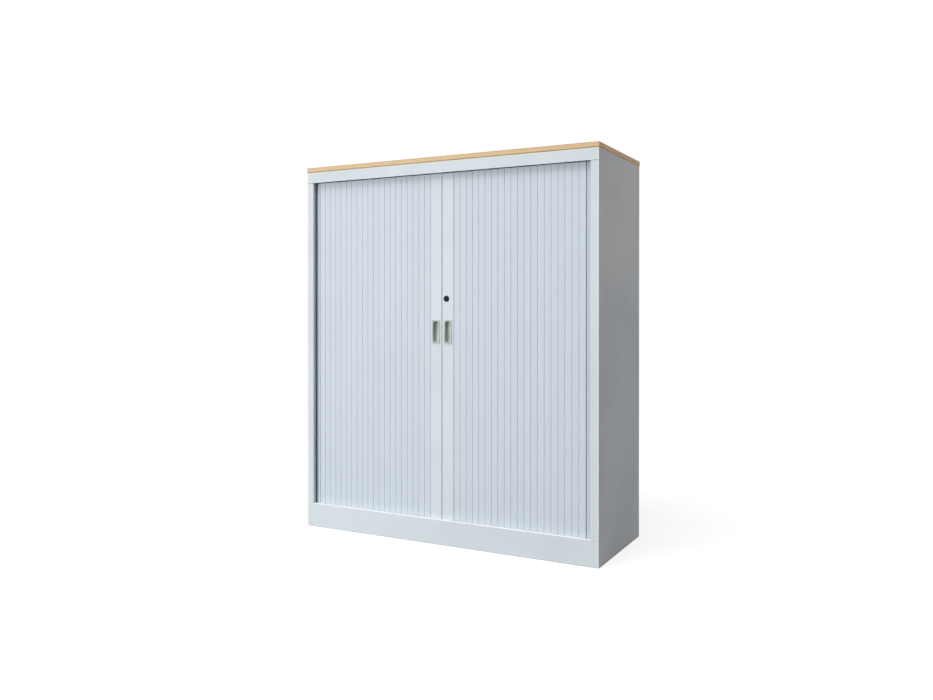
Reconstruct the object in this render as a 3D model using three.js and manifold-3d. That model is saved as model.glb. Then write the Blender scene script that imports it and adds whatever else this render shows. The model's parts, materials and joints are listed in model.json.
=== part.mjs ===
// Tambour door cabinet: a steel carcass under a wooden top, with two curtains of upright slats.
// Each curtain hangs on a stiff lead post and runs in a grooved track along the front, round
// the front corner, down the side and round the rear corner behind an inner back panel.
// Millimetres, +Z up, the doors face -Y, origin on the floor under the middle of the cabinet.

import * as THREE from "three";
import { mergeVertices } from "three/addons/utils/BufferGeometryUtils.js";
import Module from "manifold-3d";

const library = await Module();
library.setup();

// Overall size
const cabinetWidth = 1200;
const cabinetDepth = 450;
const cabinetHeight = 1398;

// Clearances and cutting
const seat = 0.3;
const cutOverrun = 4;

// Wooden top
const woodThickness = 18;
const woodOverhang = 1;
const woodEdgeRadius = 1.2;
const woodEdgeSteps = 2;

// Folded sheet of the carcass
const sheet = 1;
const headerHeight = 42;
const plinthHeight = 90;
const plinthFoot = 20;
const jambWidth = 30;
const frontReturn = 12.5;
const rearFlange = 20;
const bottomFlange = 15;
const roofFlange = 15;
const upperDeckFlange = 4;
const lowerDeckFlange = 15;
const floorRise = 20;
const ceilingRise = 20;

// Curtain, measured to its hinge line, which is the back face of the slats
const curtainRecess = 15;
const slatThickness = 7;
const slatPitch = 25;
const slatHingeGap = 0.3;
const slatWall = 1.2;
const slatEdgeRound = 0.9;
const slatEndPlay = 1.5;
const matWeb = 0.8;
const cornerRadius = 30;
const curtainSideGap = 8;
const curtainBackGap = 8;
const curtainTail = 20;

// Tracks
const trackWall = 1.2;
const trackHeight = 12.4;
const grooveOuterGap = 0.4;
const grooveInnerGap = 3.4;
const rearTrackRun = 160;
const cornerSteps = 8;

// Lead posts and their end caps
const seamHalf = 1;
const leadWidth = 47.5;
const leadDepth = 20;
const leadWall = 1.5;
const leadProud = 1;
const capPlate = 1.3;
const capInsert = 10;
const capClearance = 0.4;
const tongueInset = 2;
const tongueFrontGap = 0.4;

// Handle cups
const cupWidth = 32;
const cupHeight = 86;
const cupCentreHeight = 766;
const cupLip = 3;
const cupLipThickness = 1.5;
const cupDepth = 14;
const cupWall = 1.2;
const cupCornerRadius = 2.5;
const cupCornerSteps = 4;
const cupPocketRadius = 12;
const cupPocketSteps = 8;

// Lock
const lockInset = 17.5;
const lockAboveCup = 77;
const bezelRadius = 11;
const bezelThickness = 2;
const bezelEdge = 0.6;
const barrelRadius = 9.5;
const barrelLength = 12.5;
const plugRadius = 6;
const plugClearance = 0.3;
const keyholeWidth = 1.6;
const keyholeHeight = 7;
const keyholeDepth = 5;
const shankRadius = 3.2;
const nutRadius = 13;
const nutThickness = 3;
const nutSides = 6;
const hookThickness = 2;
const hookInnerRadius = 24;
const hookOuterRadius = 29;
const hookHubRadius = 7;
const hookArmHalfWidth = 3;
const hookPastRestDegrees = 10;
const hookLengthDegrees = 70;
const hookArmShoulder = 1.2;
const hookSteps = 12;
const hookClearance = 1;
const camScrewHeadRadius = 5;
const camScrewHeadThickness = 1.8;
const camScrewRadius = 1.5;
const camScrewLength = 6;
const strikeThickness = 1.2;
const strikeHalfHeight = 35;
const roundSteps = 32;

// Interior
const linerInset = 29;
const linerFrontFlange = 5;
const linerRearFlange = 15;
const linerFrontGap = 24;
const linerRearGap = 14;
const floorFrontGap = 2;
const slotPitch = 50;
const slotWidth = 3.2;
const slotHeight = 12;
const slotBelowShelf = 10;
const slotColumnInset = 50;
const shelfSpacing = 350;
const topTierLeast = 150;
const shelfFold = 25;
const shelfReturn = 10;
const shelfSideGap = 1.5;
const shelfFrontGap = 8;
const shelfRearGap = 2.5;
const hangerThickness = 1.5;
const hangerLeg = 12;
const hangerLedge = 17;
const hangerEndInset = 22;
const hookTab = 6;

// Levels and planes worked out from the sizes above
const halfSteel = cabinetWidth / 2 - woodOverhang;
const frontY = woodOverhang - cabinetDepth / 2;
const backY = cabinetDepth / 2 - woodOverhang;
const steelTop = cabinetHeight - woodThickness - seat;
const headerBottom = steelTop - headerHeight;
const innerHalf = halfSteel - sheet - seat;
const innerFrontY = frontY + sheet + seat;
const backPanelY = [backY - seat - sheet - sheet, backY - seat - sheet];
const innerRearY = backPanelY[0] - seat;
const lowerDeckTop = plinthHeight - floorRise;
const upperDeckUnderside = headerBottom + ceilingRise;

// The hinge line's path, seen from above
const slatFrontY = frontY + curtainRecess;
const frontHingeY = slatFrontY + slatThickness;
const backHingeY = backY - curtainBackGap - slatThickness;
const sideHingeX = halfSteel - curtainSideGap - slatThickness;
const cornerCentreX = sideHingeX - cornerRadius;
const frontRun = cornerCentreX;
const cornerRun = cornerRadius * Math.PI / 2;
const sideRun = backHingeY - frontHingeY - cornerRadius - cornerRadius;

// Levels of the curtain and its tracks
const lowerTrackZ = [lowerDeckTop + seat, lowerDeckTop + seat + trackHeight];
const upperTrackZ = [upperDeckUnderside - seat - trackHeight, upperDeckUnderside - seat];
const slatZ = [lowerTrackZ[0] + trackWall + seat, upperTrackZ[1] - trackWall - slatEndPlay];
const lowerCapZ = [lowerTrackZ[1] + capClearance, lowerTrackZ[1] + capClearance + capPlate];
const upperCapZ = [upperTrackZ[0] - capClearance - capPlate, upperTrackZ[0] - capClearance];
const leadZ = [lowerCapZ[1] + seat, upperCapZ[0] - seat];
const leadFrontY = slatFrontY - leadProud;
const leadY = [leadFrontY, leadFrontY + leadDepth];
const leadX = [seamHalf, seamHalf + leadWidth];
const firstHingeX = leadX[1] + slatHingeGap / 2;

// Levels and planes of the interior
const linerX = [halfSteel - linerInset, halfSteel - linerInset + sheet];
const linerY = [frontHingeY + linerFrontGap, backHingeY - linerRearGap];
const linerZ = [lowerDeckTop + seat, upperDeckUnderside - seat];
const innerBackY = [linerY[1] - sheet - seat - sheet, linerY[1] - sheet - seat];
const floorY = [leadY[1] + floorFrontGap, innerBackY[1]];
const floorTop = plinthHeight;
const slotColumns = [linerY[0] + slotColumnInset, linerY[1] - slotColumnInset];
const lockX = seamHalf + lockInset;
const lockHeight = cupCentreHeight + cupHeight / 2 + lockAboveCup;
const strikeX = [leadX[0] + leadWall + seat, leadX[0] + leadWall + seat + strikeThickness];
const barrelEndY = leadFrontY - seat + barrelLength;
const hookY = [barrelEndY + seat, barrelEndY + seat + hookThickness];

// Materials, one copy for each mesh
const finishes = {
  paintedSteel: { color: 0xd9e3ea, roughness: 0.5, metalness: 0.1 },
  slatPlastic: { color: 0xd3dce3, roughness: 0.55, metalness: 0 },
  wood: { color: 0xe6c79c, roughness: 0.5, metalness: 0 },
  trackPlastic: { color: 0x3b3e42, roughness: 0.6, metalness: 0 },
  capPlastic: { color: 0x8d9499, roughness: 0.6, metalness: 0 },
  cupMetal: { color: 0xb4bab5, roughness: 0.35, metalness: 0.6 },
  lockBlack: { color: 0x16171a, roughness: 0.35, metalness: 0.3 },
  zincSteel: { color: 0xb8bcc0, roughness: 0.4, metalness: 0.9 },
};

const cabinet = new THREE.Group();

// Adds one named piece to the cabinet
function addPiece(name, geometry, finish) {
  const material = new THREE.MeshStandardMaterial({ ...finishes[finish], flatShading: true });
  const piece = new THREE.Mesh(weld(geometry), material);
  piece.name = name;
  cabinet.add(piece);
  return piece;
}

const triangleCorners = 3;

// Leaves only positions, joins equal corners and drops triangles that have no area
function weld(geometry) {
  const bare = geometry.clone();
  bare.deleteAttribute("normal");
  bare.deleteAttribute("uv");
  const merged = mergeVertices(bare);
  const corners = merged.index.array;
  const kept = [];
  for (let start = 0; start < corners.length; start += triangleCorners) {
    const [a, b, c] = corners.slice(start, start + triangleCorners);
    if (a !== b && b !== c && c !== a) kept.push(a, b, c);
  }
  merged.setIndex(kept);
  return merged;
}

function toSolid(geometry) {
  const merged = weld(geometry);
  const vertProperties = new Float32Array(merged.attributes.position.array);
  const triVerts = new Uint32Array(merged.index.array);
  return new library.Manifold(new library.Mesh({ numProp: 3, vertProperties, triVerts }));
}

function toGeometry(solid) {
  const mesh = solid.getMesh();
  const geometry = new THREE.BufferGeometry();
  geometry.setAttribute("position", new THREE.BufferAttribute(mesh.vertProperties, 3));
  geometry.setIndex(new THREE.BufferAttribute(mesh.triVerts, 1));
  return geometry;
}

function join(...geometries) {
  return toGeometry(geometries.map(toSolid).reduce((whole, next) => whole.add(next)));
}

function cut(geometry, ...tools) {
  const solid = toSolid(geometry);
  return toGeometry(tools.map(toSolid).reduce((whole, tool) => whole.subtract(tool), solid));
}

// A block between three pairs of low and high values
function block(x, y, z) {
  const geometry = new THREE.BoxGeometry(x[1] - x[0], y[1] - y[0], z[1] - z[0]);
  geometry.translate((x[0] + x[1]) / 2, (y[0] + y[1]) / 2, (z[0] + z[1]) / 2);
  return geometry;
}

function toPoints(outline) {
  return outline.map(([x, y]) => new THREE.Vector2(x, y));
}

// The points in counterclockwise order, so that mirrored outlines extrude alike
function ordered(outline) {
  const points = toPoints(outline);
  return THREE.ShapeUtils.area(points) < 0 ? points.reverse() : points;
}

// An outline in plan, run upward between two levels
function upright(outline, z, holes = []) {
  const shape = new THREE.Shape(ordered(outline));
  shape.holes = holes.map((hole) => new THREE.Path(ordered(hole).reverse()));
  const geometry = new THREE.ExtrudeGeometry(shape, { depth: z[1] - z[0], bevelEnabled: false });
  geometry.translate(0, 0, z[0]);
  return geometry;
}

const alongX = new THREE.Vector3(1, 0, 0);
const alongY = new THREE.Vector3(0, 1, 0);
const alongZ = new THREE.Vector3(0, 0, 1);
const towardFront = new THREE.Vector3(0, -1, 0);

// An outline in y and z, run along x
function crosswise(outline, x) {
  const geometry = upright(outline, x);
  geometry.applyMatrix4(new THREE.Matrix4().makeBasis(alongY, alongZ, alongX));
  return geometry;
}

// An outline in x and z, as seen from the front, run along y
function facing(outline, y, holes = []) {
  const geometry = upright(outline, [0, y[1] - y[0]], holes);
  geometry.applyMatrix4(new THREE.Matrix4().makeBasis(alongX, alongZ, towardFront));
  geometry.translate(0, y[1], 0);
  return geometry;
}

// A pair of x values on the right side, or its mirror image on the left
function sided(side, [near, far]) {
  return side > 0 ? [near, far] : [-far, -near];
}

function inset([low, high], amount) {
  return [low + amount, high - amount];
}

function mirrored(side, outline) {
  return outline.map(([x, y]) => [side * x, y]);
}

function roundedOutline(x, z, radius, steps) {
  const [left, right] = inset(x, radius);
  const [bottom, top] = inset(z, radius);
  const centres = [[right, top], [left, top], [left, bottom], [right, bottom]];
  return centres.flatMap(([cx, cz], quarter) => {
    const points = [];
    for (let step = 0; step <= steps; step += 1) {
      const angle = (quarter + step / steps) * Math.PI / 2;
      points.push([cx + radius * Math.cos(angle), cz + radius * Math.sin(angle)]);
    }
    return points;
  });
}

function circleOutline(cx, cz, radius, steps) {
  const points = [];
  for (let step = 0; step < steps; step += 1) {
    const angle = step / steps * Math.PI * 2;
    points.push([cx + radius * Math.cos(angle), cz + radius * Math.sin(angle)]);
  }
  return points;
}

// A turned piece round the lock's axis, from a profile of [radius, y]
function turned(profile) {
  const geometry = new THREE.LatheGeometry(toPoints(profile), roundSteps);
  geometry.translate(lockX, 0, lockHeight);
  return geometry;
}

// A tray of sheet: a flat face with flanges folded down from it, or up
function tray(x, y, z, faceOnTop) {
  const hollowZ = faceOnTop
    ? [z[0] - cutOverrun, z[1] - sheet]
    : [z[0] + sheet, z[1] + cutOverrun];
  return cut(block(x, y, z), block(inset(x, sheet), inset(y, sheet), hollowZ));
}

// Wooden top, flush with the steel but for a hair of overhang
function woodTop() {
  const x = inset([-cabinetWidth / 2, cabinetWidth / 2], woodEdgeRadius);
  const y = inset([-cabinetDepth / 2, cabinetDepth / 2], woodEdgeRadius);
  const shape = new THREE.Shape(toPoints([[x[0], y[0]], [x[1], y[0]], [x[1], y[1]], [x[0], y[1]]]));
  const geometry = new THREE.ExtrudeGeometry(shape, {
    depth: woodThickness - woodEdgeRadius - woodEdgeRadius,
    bevelThickness: woodEdgeRadius,
    bevelSize: woodEdgeRadius,
    bevelSegments: woodEdgeSteps,
  });
  geometry.translate(0, 0, cabinetHeight - woodThickness + woodEdgeRadius);
  return geometry;
}

// Side panel: a full-height sheet, folded into the jamb in front and a flange behind
function sidePanel(side) {
  const jambX = halfSteel - jambWidth;
  const jambOutline = [
    [halfSteel, frontY],
    [halfSteel, backY],
    [halfSteel - rearFlange, backY],
    [halfSteel - rearFlange, backY - sheet],
    [halfSteel - sheet, backY - sheet],
    [halfSteel - sheet, frontY + sheet],
    [jambX + sheet, frontY + sheet],
    [jambX + sheet, frontY + frontReturn],
    [jambX, frontY + frontReturn],
    [jambX, frontY],
  ];
  const plainOutline = [
    [halfSteel, innerFrontY],
    [halfSteel, backY],
    [halfSteel - rearFlange, backY],
    [halfSteel - rearFlange, backY - sheet],
    [halfSteel - sheet, backY - sheet],
    [halfSteel - sheet, innerFrontY],
  ];
  const footX = [halfSteel - bottomFlange, halfSteel];
  const footY = [frontY + plinthFoot + seat, innerRearY];
  return join(
    upright(mirrored(side, jambOutline), [plinthHeight + seat, headerBottom - seat]),
    upright(mirrored(side, plainOutline), [0, steelTop]),
    block(sided(side, footX), footY, [0, sheet]),
  );
}

// Header and plinth: full-width faces with returns that fit between the side panels
function headerRail() {
  const face = block([-halfSteel, halfSteel], [frontY, frontY + sheet], [headerBottom, steelTop]);
  const returnY = [frontY, frontY + frontReturn];
  return join(face, block([-innerHalf, innerHalf], returnY, [headerBottom, headerBottom + sheet]));
}

function plinthFront() {
  const face = block([-halfSteel, halfSteel], [frontY, frontY + sheet], [0, plinthHeight]);
  const lip = block(
    [-innerHalf, innerHalf],
    [frontY, frontY + frontReturn],
    [plinthHeight - sheet, plinthHeight],
  );
  const foot = block([-innerHalf, innerHalf], [frontY, frontY + plinthFoot], [0, sheet]);
  return join(face, lip, foot);
}

// A point on the hinge line's path at a distance from the cabinet's middle, moved outward
function pathPoint(distance, outward) {
  const radius = cornerRadius + outward;
  let rest = distance;
  if (rest <= frontRun) return [rest, frontHingeY - outward];
  rest -= frontRun;
  if (rest <= cornerRun) {
    const turn = rest / cornerRadius;
    const centreY = frontHingeY + cornerRadius;
    return [cornerCentreX + radius * Math.sin(turn), centreY - radius * Math.cos(turn)];
  }
  rest -= cornerRun;
  if (rest <= sideRun) return [sideHingeX + outward, frontHingeY + cornerRadius + rest];
  rest -= sideRun;
  if (rest <= cornerRun) {
    const turn = rest / cornerRadius;
    const centreY = backHingeY - cornerRadius;
    return [cornerCentreX + radius * Math.cos(turn), centreY + radius * Math.sin(turn)];
  }
  rest -= cornerRun;
  return [cornerCentreX - rest, backHingeY + outward];
}

// The strip between two distances out from the path, as a closed outline
function pathStrip(start, end, inner, outer) {
  const stations = [start];
  const cornerStarts = [frontRun, frontRun + cornerRun + sideRun];
  for (const cornerStart of cornerStarts) {
    for (let step = 0; step <= cornerSteps; step += 1) {
      stations.push(cornerStart + step / cornerSteps * cornerRun);
    }
  }
  stations.push(end);
  const outerLine = stations.map((station) => pathPoint(station, outer));
  const innerLine = stations.map((station) => pathPoint(station, inner)).reverse();
  return outerLine.concat(innerLine);
}

// Track: a grooved rail that follows the whole path, with its groove facing the slats
function track(side, z, grooveUp) {
  const end = frontRun + cornerRun + sideRun + cornerRun + rearTrackRun;
  const grooveInner = -grooveInnerGap;
  const grooveOuter = slatThickness + grooveOuterGap;
  const body = pathStrip(seat / 2, end, grooveInner - trackWall, grooveOuter + trackWall);
  const groove = pathStrip(seat / 2 - cutOverrun, end + cutOverrun, grooveInner, grooveOuter);
  const grooveZ = grooveUp
    ? [z[0] + trackWall, z[1] + cutOverrun]
    : [z[0] - cutOverrun, z[1] - trackWall];
  return cut(upright(mirrored(side, body), z), upright(mirrored(side, groove), grooveZ));
}

// Points of a slat's rounded front corner, as shares of its quarter turn
const slatEdgeShares = [0, 1 / 3, 2 / 3, 1];

// The rounded front corner of a slat, from its side face to its front face
function slatEdge(x, inward) {
  return slatEdgeShares.map((share) => {
    const angle = share * Math.PI / 2;
    const across = slatEdgeRound * (1 - Math.cos(angle));
    const forward = slatEdgeRound * (1 - Math.sin(angle));
    return [x + inward * across, forward - slatThickness];
  });
}

// A run of hollow slats joined by thin webs at the back, drawn from its first hinge along +x
function slatRun(count, side) {
  const halfGap = slatHingeGap / 2;
  const outline = [[halfGap, 0]];
  const hollows = [];
  for (let index = 0; index < count; index += 1) {
    const near = index * slatPitch + halfGap;
    const far = (index + 1) * slatPitch - halfGap;
    if (index > 0) outline.push([near, -matWeb]);
    outline.push(...slatEdge(near, 1), ...slatEdge(far, -1).reverse());
    if (index < count - 1) outline.push([far, -matWeb]);
    const [left, right] = inset([near, far], slatWall);
    const [front, back] = inset([-slatThickness, 0], slatWall);
    hollows.push([[left, front], [right, front], [right, back], [left, back]]);
  }
  outline.push([count * slatPitch - halfGap, 0]);
  const turnOver = (points) => points.map(([x, y]) => [x, side * y]);
  return upright(turnOver(outline), slatZ, hollows.map(turnOver));
}

const hingeHalvings = 60;

// The distance along the path of the next hinge, a straight chord away, found by halving
function nextHinge(distance, chord) {
  const from = new THREE.Vector2(...pathPoint(distance, 0));
  let low = distance;
  let high = distance + chord + cornerRun;
  for (let halving = 0; halving < hingeHalvings; halving += 1) {
    const middle = (low + high) / 2;
    const to = new THREE.Vector2(...pathPoint(middle, 0));
    if (from.distanceTo(to) < chord) low = middle;
    else high = middle;
  }
  return high;
}

// The curtain in its closed place: what turns a corner, open or closed, is cut slat by slat,
// and the long mat between stays straight at both ends of the travel
const cornerSlatCount = 9;
const closedLength = frontRun + cornerRun + curtainTail - firstHingeX;
const slatCount = Math.ceil(closedLength / slatPitch);
const slatRuns = [
  ["slat_1", 1],
  ["slat_2", 1],
  ["slat_mat", slatCount - cornerSlatCount],
  ["slat_3", 1],
  ["slat_4", 1],
  ["slat_pair", 2],
  ["slat_5", 1],
  ["slat_6", 1],
  ["slat_7", 1],
];

function addCurtain(sideName, side) {
  let distance = firstHingeX;
  for (const [name, count] of slatRuns) {
    const [x, y] = pathPoint(distance, 0);
    distance = nextHinge(distance, count * slatPitch);
    const [nextX, nextY] = pathPoint(distance, 0);
    const slats = addPiece(`${sideName}_${name}`, slatRun(count, side), "slatPlastic");
    slats.position.set(side * x, y, 0);
    slats.rotation.z = Math.atan2(nextY - y, side * (nextX - x));
  }
}

// Lead post: a stiff hollow upright with a window for the cup and a slot for the lock's hook
const hookSlotLow = lockHeight - hookClearance
  - Math.sqrt(hookOuterRadius ** 2 - (lockX - leadX[0] - leadWall) ** 2);
const hookSlotHigh = lockHeight + hookClearance
  - Math.sqrt(hookInnerRadius ** 2 - (lockX + strikeX[1]) ** 2);

function hookSlot(side, x) {
  const slotX = sided(side, inset(x, -cutOverrun));
  return block(slotX, inset(hookY, -hookClearance), [hookSlotLow, hookSlotHigh]);
}

function leadPost(side) {
  const centreX = side * (leadX[0] + leadX[1]) / 2;
  const throughFront = [leadFrontY - cutOverrun, leadFrontY + leadWall + cutOverrun];
  const hollow = block(
    sided(side, inset(leadX, leadWall)),
    inset(leadY, leadWall),
    inset(leadZ, -cutOverrun),
  );
  const windowOutline = roundedOutline(
    inset([centreX - cupWidth / 2, centreX + cupWidth / 2], cupLip - seat),
    inset([cupCentreHeight - cupHeight / 2, cupCentreHeight + cupHeight / 2], cupLip - seat),
    cupCornerRadius,
    cupCornerSteps,
  );
  const closingWallX = [leadX[0], leadX[0] + leadWall];
  const cuts = [hollow, facing(windowOutline, throughFront), hookSlot(side, closingWallX)];
  if (side > 0) {
    const lockHole = circleOutline(lockX, lockHeight, barrelRadius + plugClearance, roundSteps);
    cuts.push(facing(lockHole, throughFront));
  }
  return cut(block(sided(side, leadX), leadY, leadZ), ...cuts);
}

// End cap of a lead post: a plate under the post, an insert inside it and a tongue in the groove
function leadCap(side, atTop) {
  const plateZ = atTop ? upperCapZ : lowerCapZ;
  const insertZ = atTop ? [plateZ[0] - capInsert, plateZ[1]] : [plateZ[0], plateZ[1] + capInsert];
  const tongueZ = atTop ? [plateZ[0], slatZ[1]] : [slatZ[0], plateZ[1]];
  const tongueY = [slatFrontY + tongueFrontGap, frontHingeY - seat];
  return join(
    block(sided(side, leadX), leadY, plateZ),
    block(sided(side, inset(leadX, leadWall + seat)), inset(leadY, leadWall + seat), insertZ),
    block(sided(side, inset(leadX, tongueInset)), tongueY, tongueZ),
  );
}

// Handle cup: a lipped pocket for the fingertips, let into a lead post
function handleCup(side) {
  const centreX = side * (leadX[0] + leadX[1]) / 2;
  const lipX = [centreX - cupWidth / 2, centreX + cupWidth / 2];
  const lipZ = [cupCentreHeight - cupHeight / 2, cupCentreHeight + cupHeight / 2];
  const backOfLip = leadFrontY - seat;
  const lipY = [backOfLip - cupLipThickness, backOfLip];
  const lip = roundedOutline(lipX, lipZ, cupCornerRadius, cupCornerSteps);
  const pocket = (amount) => roundedOutline(
    inset(lipX, cupLip + amount),
    inset(lipZ, cupLip + amount),
    cupPocketRadius - amount,
    cupPocketSteps,
  );
  const shell = join(
    facing(lip, lipY),
    facing(pocket(0), [lipY[0], backOfLip + cupDepth]),
  );
  const hollowY = [lipY[0] - cutOverrun, backOfLip + cupDepth - cupWall];
  return cut(shell, facing(pocket(cupWall), hollowY));
}

// Lock housing: a barrel through the post's front wall under a round bezel
function lockHousing() {
  const bore = plugRadius + plugClearance;
  const bezelY = [leadFrontY - seat - bezelThickness, leadFrontY - seat];
  return turned([
    [bore, bezelY[0]],
    [bezelRadius - bezelEdge, bezelY[0]],
    [bezelRadius, bezelY[0] + bezelEdge],
    [bezelRadius, bezelY[1]],
    [barrelRadius, bezelY[1]],
    [barrelRadius, barrelEndY],
    [bore, barrelEndY],
    [bore, bezelY[0]],
  ]);
}

// Lock plug: turns in the housing, with a keyhole in front and a shank for the hook behind
function lockPlug() {
  const plugFront = leadFrontY - seat - bezelThickness;
  const screwBore = camScrewRadius + seat;
  const boreEnd = hookY[1] - camScrewLength - seat;
  const solid = turned([
    [0, plugFront],
    [plugRadius, plugFront],
    [plugRadius, barrelEndY],
    [shankRadius, barrelEndY],
    [shankRadius, hookY[1]],
    [screwBore, hookY[1]],
    [screwBore, boreEnd],
    [0, boreEnd],
  ]);
  const keyhole = block(
    [lockX - keyholeWidth / 2, lockX + keyholeWidth / 2],
    [plugFront - cutOverrun, plugFront + keyholeDepth],
    [lockHeight - keyholeHeight / 2, lockHeight + keyholeHeight / 2],
  );
  return cut(solid, keyhole);
}

function lockNut() {
  const y = [leadFrontY + leadWall + seat, leadFrontY + leadWall + seat + nutThickness];
  const hole = circleOutline(lockX, lockHeight, barrelRadius + seat, roundSteps);
  return facing(circleOutline(lockX, lockHeight, nutRadius, nutSides), y, [hole]);
}

// Lock hook: an arm from the plug carries an arc about the lock's axis. At rest its tip points
// down inside the right post, and a quarter turn brings it round behind the strike plate.
function lockHook() {
  const bottom = -Math.PI / 2;
  const tip = bottom - THREE.MathUtils.degToRad(hookPastRestDegrees);
  const length = THREE.MathUtils.degToRad(hookLengthDegrees);
  const polar = (radius, angle) => [
    lockX + radius * Math.cos(angle),
    lockHeight + radius * Math.sin(angle),
  ];
  const outer = [];
  const inner = [];
  for (let step = 0; step <= hookSteps; step += 1) {
    const angle = tip + step / hookSteps * length;
    outer.push(polar(hookOuterRadius, angle));
    inner.unshift(polar(hookInnerRadius, angle));
  }
  const finger = facing(outer.concat(inner), hookY);
  const armAngle = tip + length;
  const armTurn = Math.asin(hookArmHalfWidth / hookInnerRadius);
  const hubTurn = Math.asin(hookArmHalfWidth / hookHubRadius);
  const arm = facing([
    polar(hookHubRadius, armAngle - hubTurn),
    polar(hookInnerRadius + hookArmShoulder, armAngle - armTurn),
    polar(hookOuterRadius, armAngle - armTurn),
    polar(hookOuterRadius, armAngle),
    polar(hookHubRadius, armAngle + hubTurn),
  ], hookY);
  const hubRadius = hookHubRadius + hookClearance;
  const hub = facing(circleOutline(lockX, lockHeight, hubRadius, roundSteps), hookY);
  const hole = facing(
    circleOutline(lockX, lockHeight, shankRadius + seat, roundSteps),
    inset(hookY, -cutOverrun),
  );
  return cut(join(finger, arm, hub), hole);
}

function camScrew() {
  const headY = [hookY[1] + seat, hookY[1] + seat + camScrewHeadThickness];
  return turned([
    [0, hookY[1] - camScrewLength],
    [camScrewRadius, hookY[1] - camScrewLength],
    [camScrewRadius, headY[0]],
    [camScrewHeadRadius, headY[0]],
    [camScrewHeadRadius, headY[1]],
    [0, headY[1]],
  ]);
}

// Strike plate: backs the left post's closing wall, where the hook catches
function strikePlate() {
  const z = [lockHeight - strikeHalfHeight, lockHeight + strikeHalfHeight];
  return cut(block(sided(-1, strikeX), inset(leadY, leadWall + seat), z), hookSlot(-1, strikeX));
}

// Liner: hides the curtain's side run and carries the shelves in its slots
const slotRowCount = Math.floor((upperDeckUnderside - floorTop) / slotPitch) - 1;

function slotBottom(row) {
  return floorTop + row * slotPitch - sheet - seat - slotBelowShelf;
}

function liner(side) {
  const outline = [
    [linerX[0], linerY[0]],
    [linerX[1] + linerFrontFlange, linerY[0]],
    [linerX[1] + linerFrontFlange, linerY[0] + sheet],
    [linerX[1], linerY[0] + sheet],
    [linerX[1], linerY[1]],
    [linerX[0] - linerRearFlange, linerY[1]],
    [linerX[0] - linerRearFlange, linerY[1] - sheet],
    [linerX[0], linerY[1] - sheet],
  ];
  const slots = [];
  for (const columnY of slotColumns) {
    for (let row = 1; row <= slotRowCount; row += 1) {
      const bottom = slotBottom(row);
      slots.push(block(
        sided(side, inset(linerX, -cutOverrun)),
        [columnY - slotWidth / 2, columnY + slotWidth / 2],
        [bottom, bottom + slotHeight],
      ));
    }
  }
  return cut(upright(mirrored(side, outline), linerZ), ...slots);
}

// Shelf: a sheet with deep folds along its front and back edges
const shelfY = [linerY[0] + shelfFrontGap, innerBackY[0] - shelfRearGap];
const shelfHalf = linerX[0] - shelfSideGap;

function shelf(topZ) {
  const [front, back] = shelfY;
  const bottom = topZ - shelfFold;
  return crosswise([
    [front, topZ],
    [front, bottom],
    [front + shelfReturn, bottom],
    [front + shelfReturn, bottom + sheet],
    [front + sheet, bottom + sheet],
    [front + sheet, topZ - sheet],
    [back - sheet, topZ - sheet],
    [back - sheet, bottom + sheet],
    [back - shelfReturn, bottom + sheet],
    [back - shelfReturn, bottom],
    [back, bottom],
    [back, topZ],
  ], [-shelfHalf, shelfHalf]);
}

// Shelf hanger: an angle under the shelf's end, hooked into two slots of the liner
function shelfHanger(side, row) {
  const ledgeTop = floorTop + row * slotPitch - sheet - seat;
  const leafX = [linerX[0] - seat - hangerThickness, linerX[0] - seat];
  const ledgeX = [leafX[1] - hangerLedge, leafX[1]];
  const hangerY = inset(shelfY, hangerEndInset);
  const tabX = [linerX[1] + seat, linerX[1] + seat + hangerThickness];
  const neckZ = [slotBottom(row) + seat, slotBottom(row) + seat + hookTab];
  const hooks = slotColumns.flatMap((columnY) => {
    const hookWidth = inset([columnY - slotWidth / 2, columnY + slotWidth / 2], seat);
    return [
      block(sided(side, [leafX[0], tabX[1]]), hookWidth, neckZ),
      block(sided(side, tabX), hookWidth, [neckZ[0] - hookTab, neckZ[1]]),
    ];
  });
  return join(
    block(sided(side, leafX), hangerY, [ledgeTop - hangerLeg, ledgeTop]),
    block(sided(side, ledgeX), hangerY, [ledgeTop - hangerThickness, ledgeTop]),
    ...hooks,
  );
}

// Slot row of each shelf: tiers of equal height for files, and a lower one left at the top
const shelfCount = Math.floor((upperDeckUnderside - floorTop - topTierLeast) / shelfSpacing);
const shelfRows = [];
for (let shelfNumber = 1; shelfNumber <= shelfCount; shelfNumber += 1) {
  shelfRows.push(Math.round(shelfNumber * shelfSpacing / slotPitch));
}

// Carcass
const deckX = [-innerHalf, innerHalf];
const deckY = [innerFrontY, innerRearY];
const lowerDeckZ = [lowerDeckTop - lowerDeckFlange, lowerDeckTop];
const upperDeckZ = [upperDeckUnderside, upperDeckUnderside + upperDeckFlange];
addPiece("wood_top", woodTop(), "wood");
addPiece("roof_panel", tray(deckX, deckY, [steelTop - roofFlange, steelTop], true), "paintedSteel");
addPiece("header_rail", headerRail(), "paintedSteel");
addPiece("plinth_front", plinthFront(), "paintedSteel");
addPiece("upper_deck", tray(deckX, deckY, upperDeckZ, false), "paintedSteel");
addPiece("lower_deck", tray(deckX, deckY, lowerDeckZ, true), "paintedSteel");
addPiece("back_panel", block(deckX, backPanelY, [0, steelTop]), "paintedSteel");

// Interior
const floorX = [-linerX[0] + seat, linerX[0] - seat];
addPiece("floor_panel", tray(floorX, floorY, [linerZ[0], floorTop], true), "paintedSteel");
addPiece("inner_back_panel", block(floorX, innerBackY, [floorTop + seat, linerZ[1]]), "paintedSteel");
shelfRows.forEach((row, index) => {
  addPiece(`shelf_${index + 1}`, shelf(floorTop + row * slotPitch), "paintedSteel");
});

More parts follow.
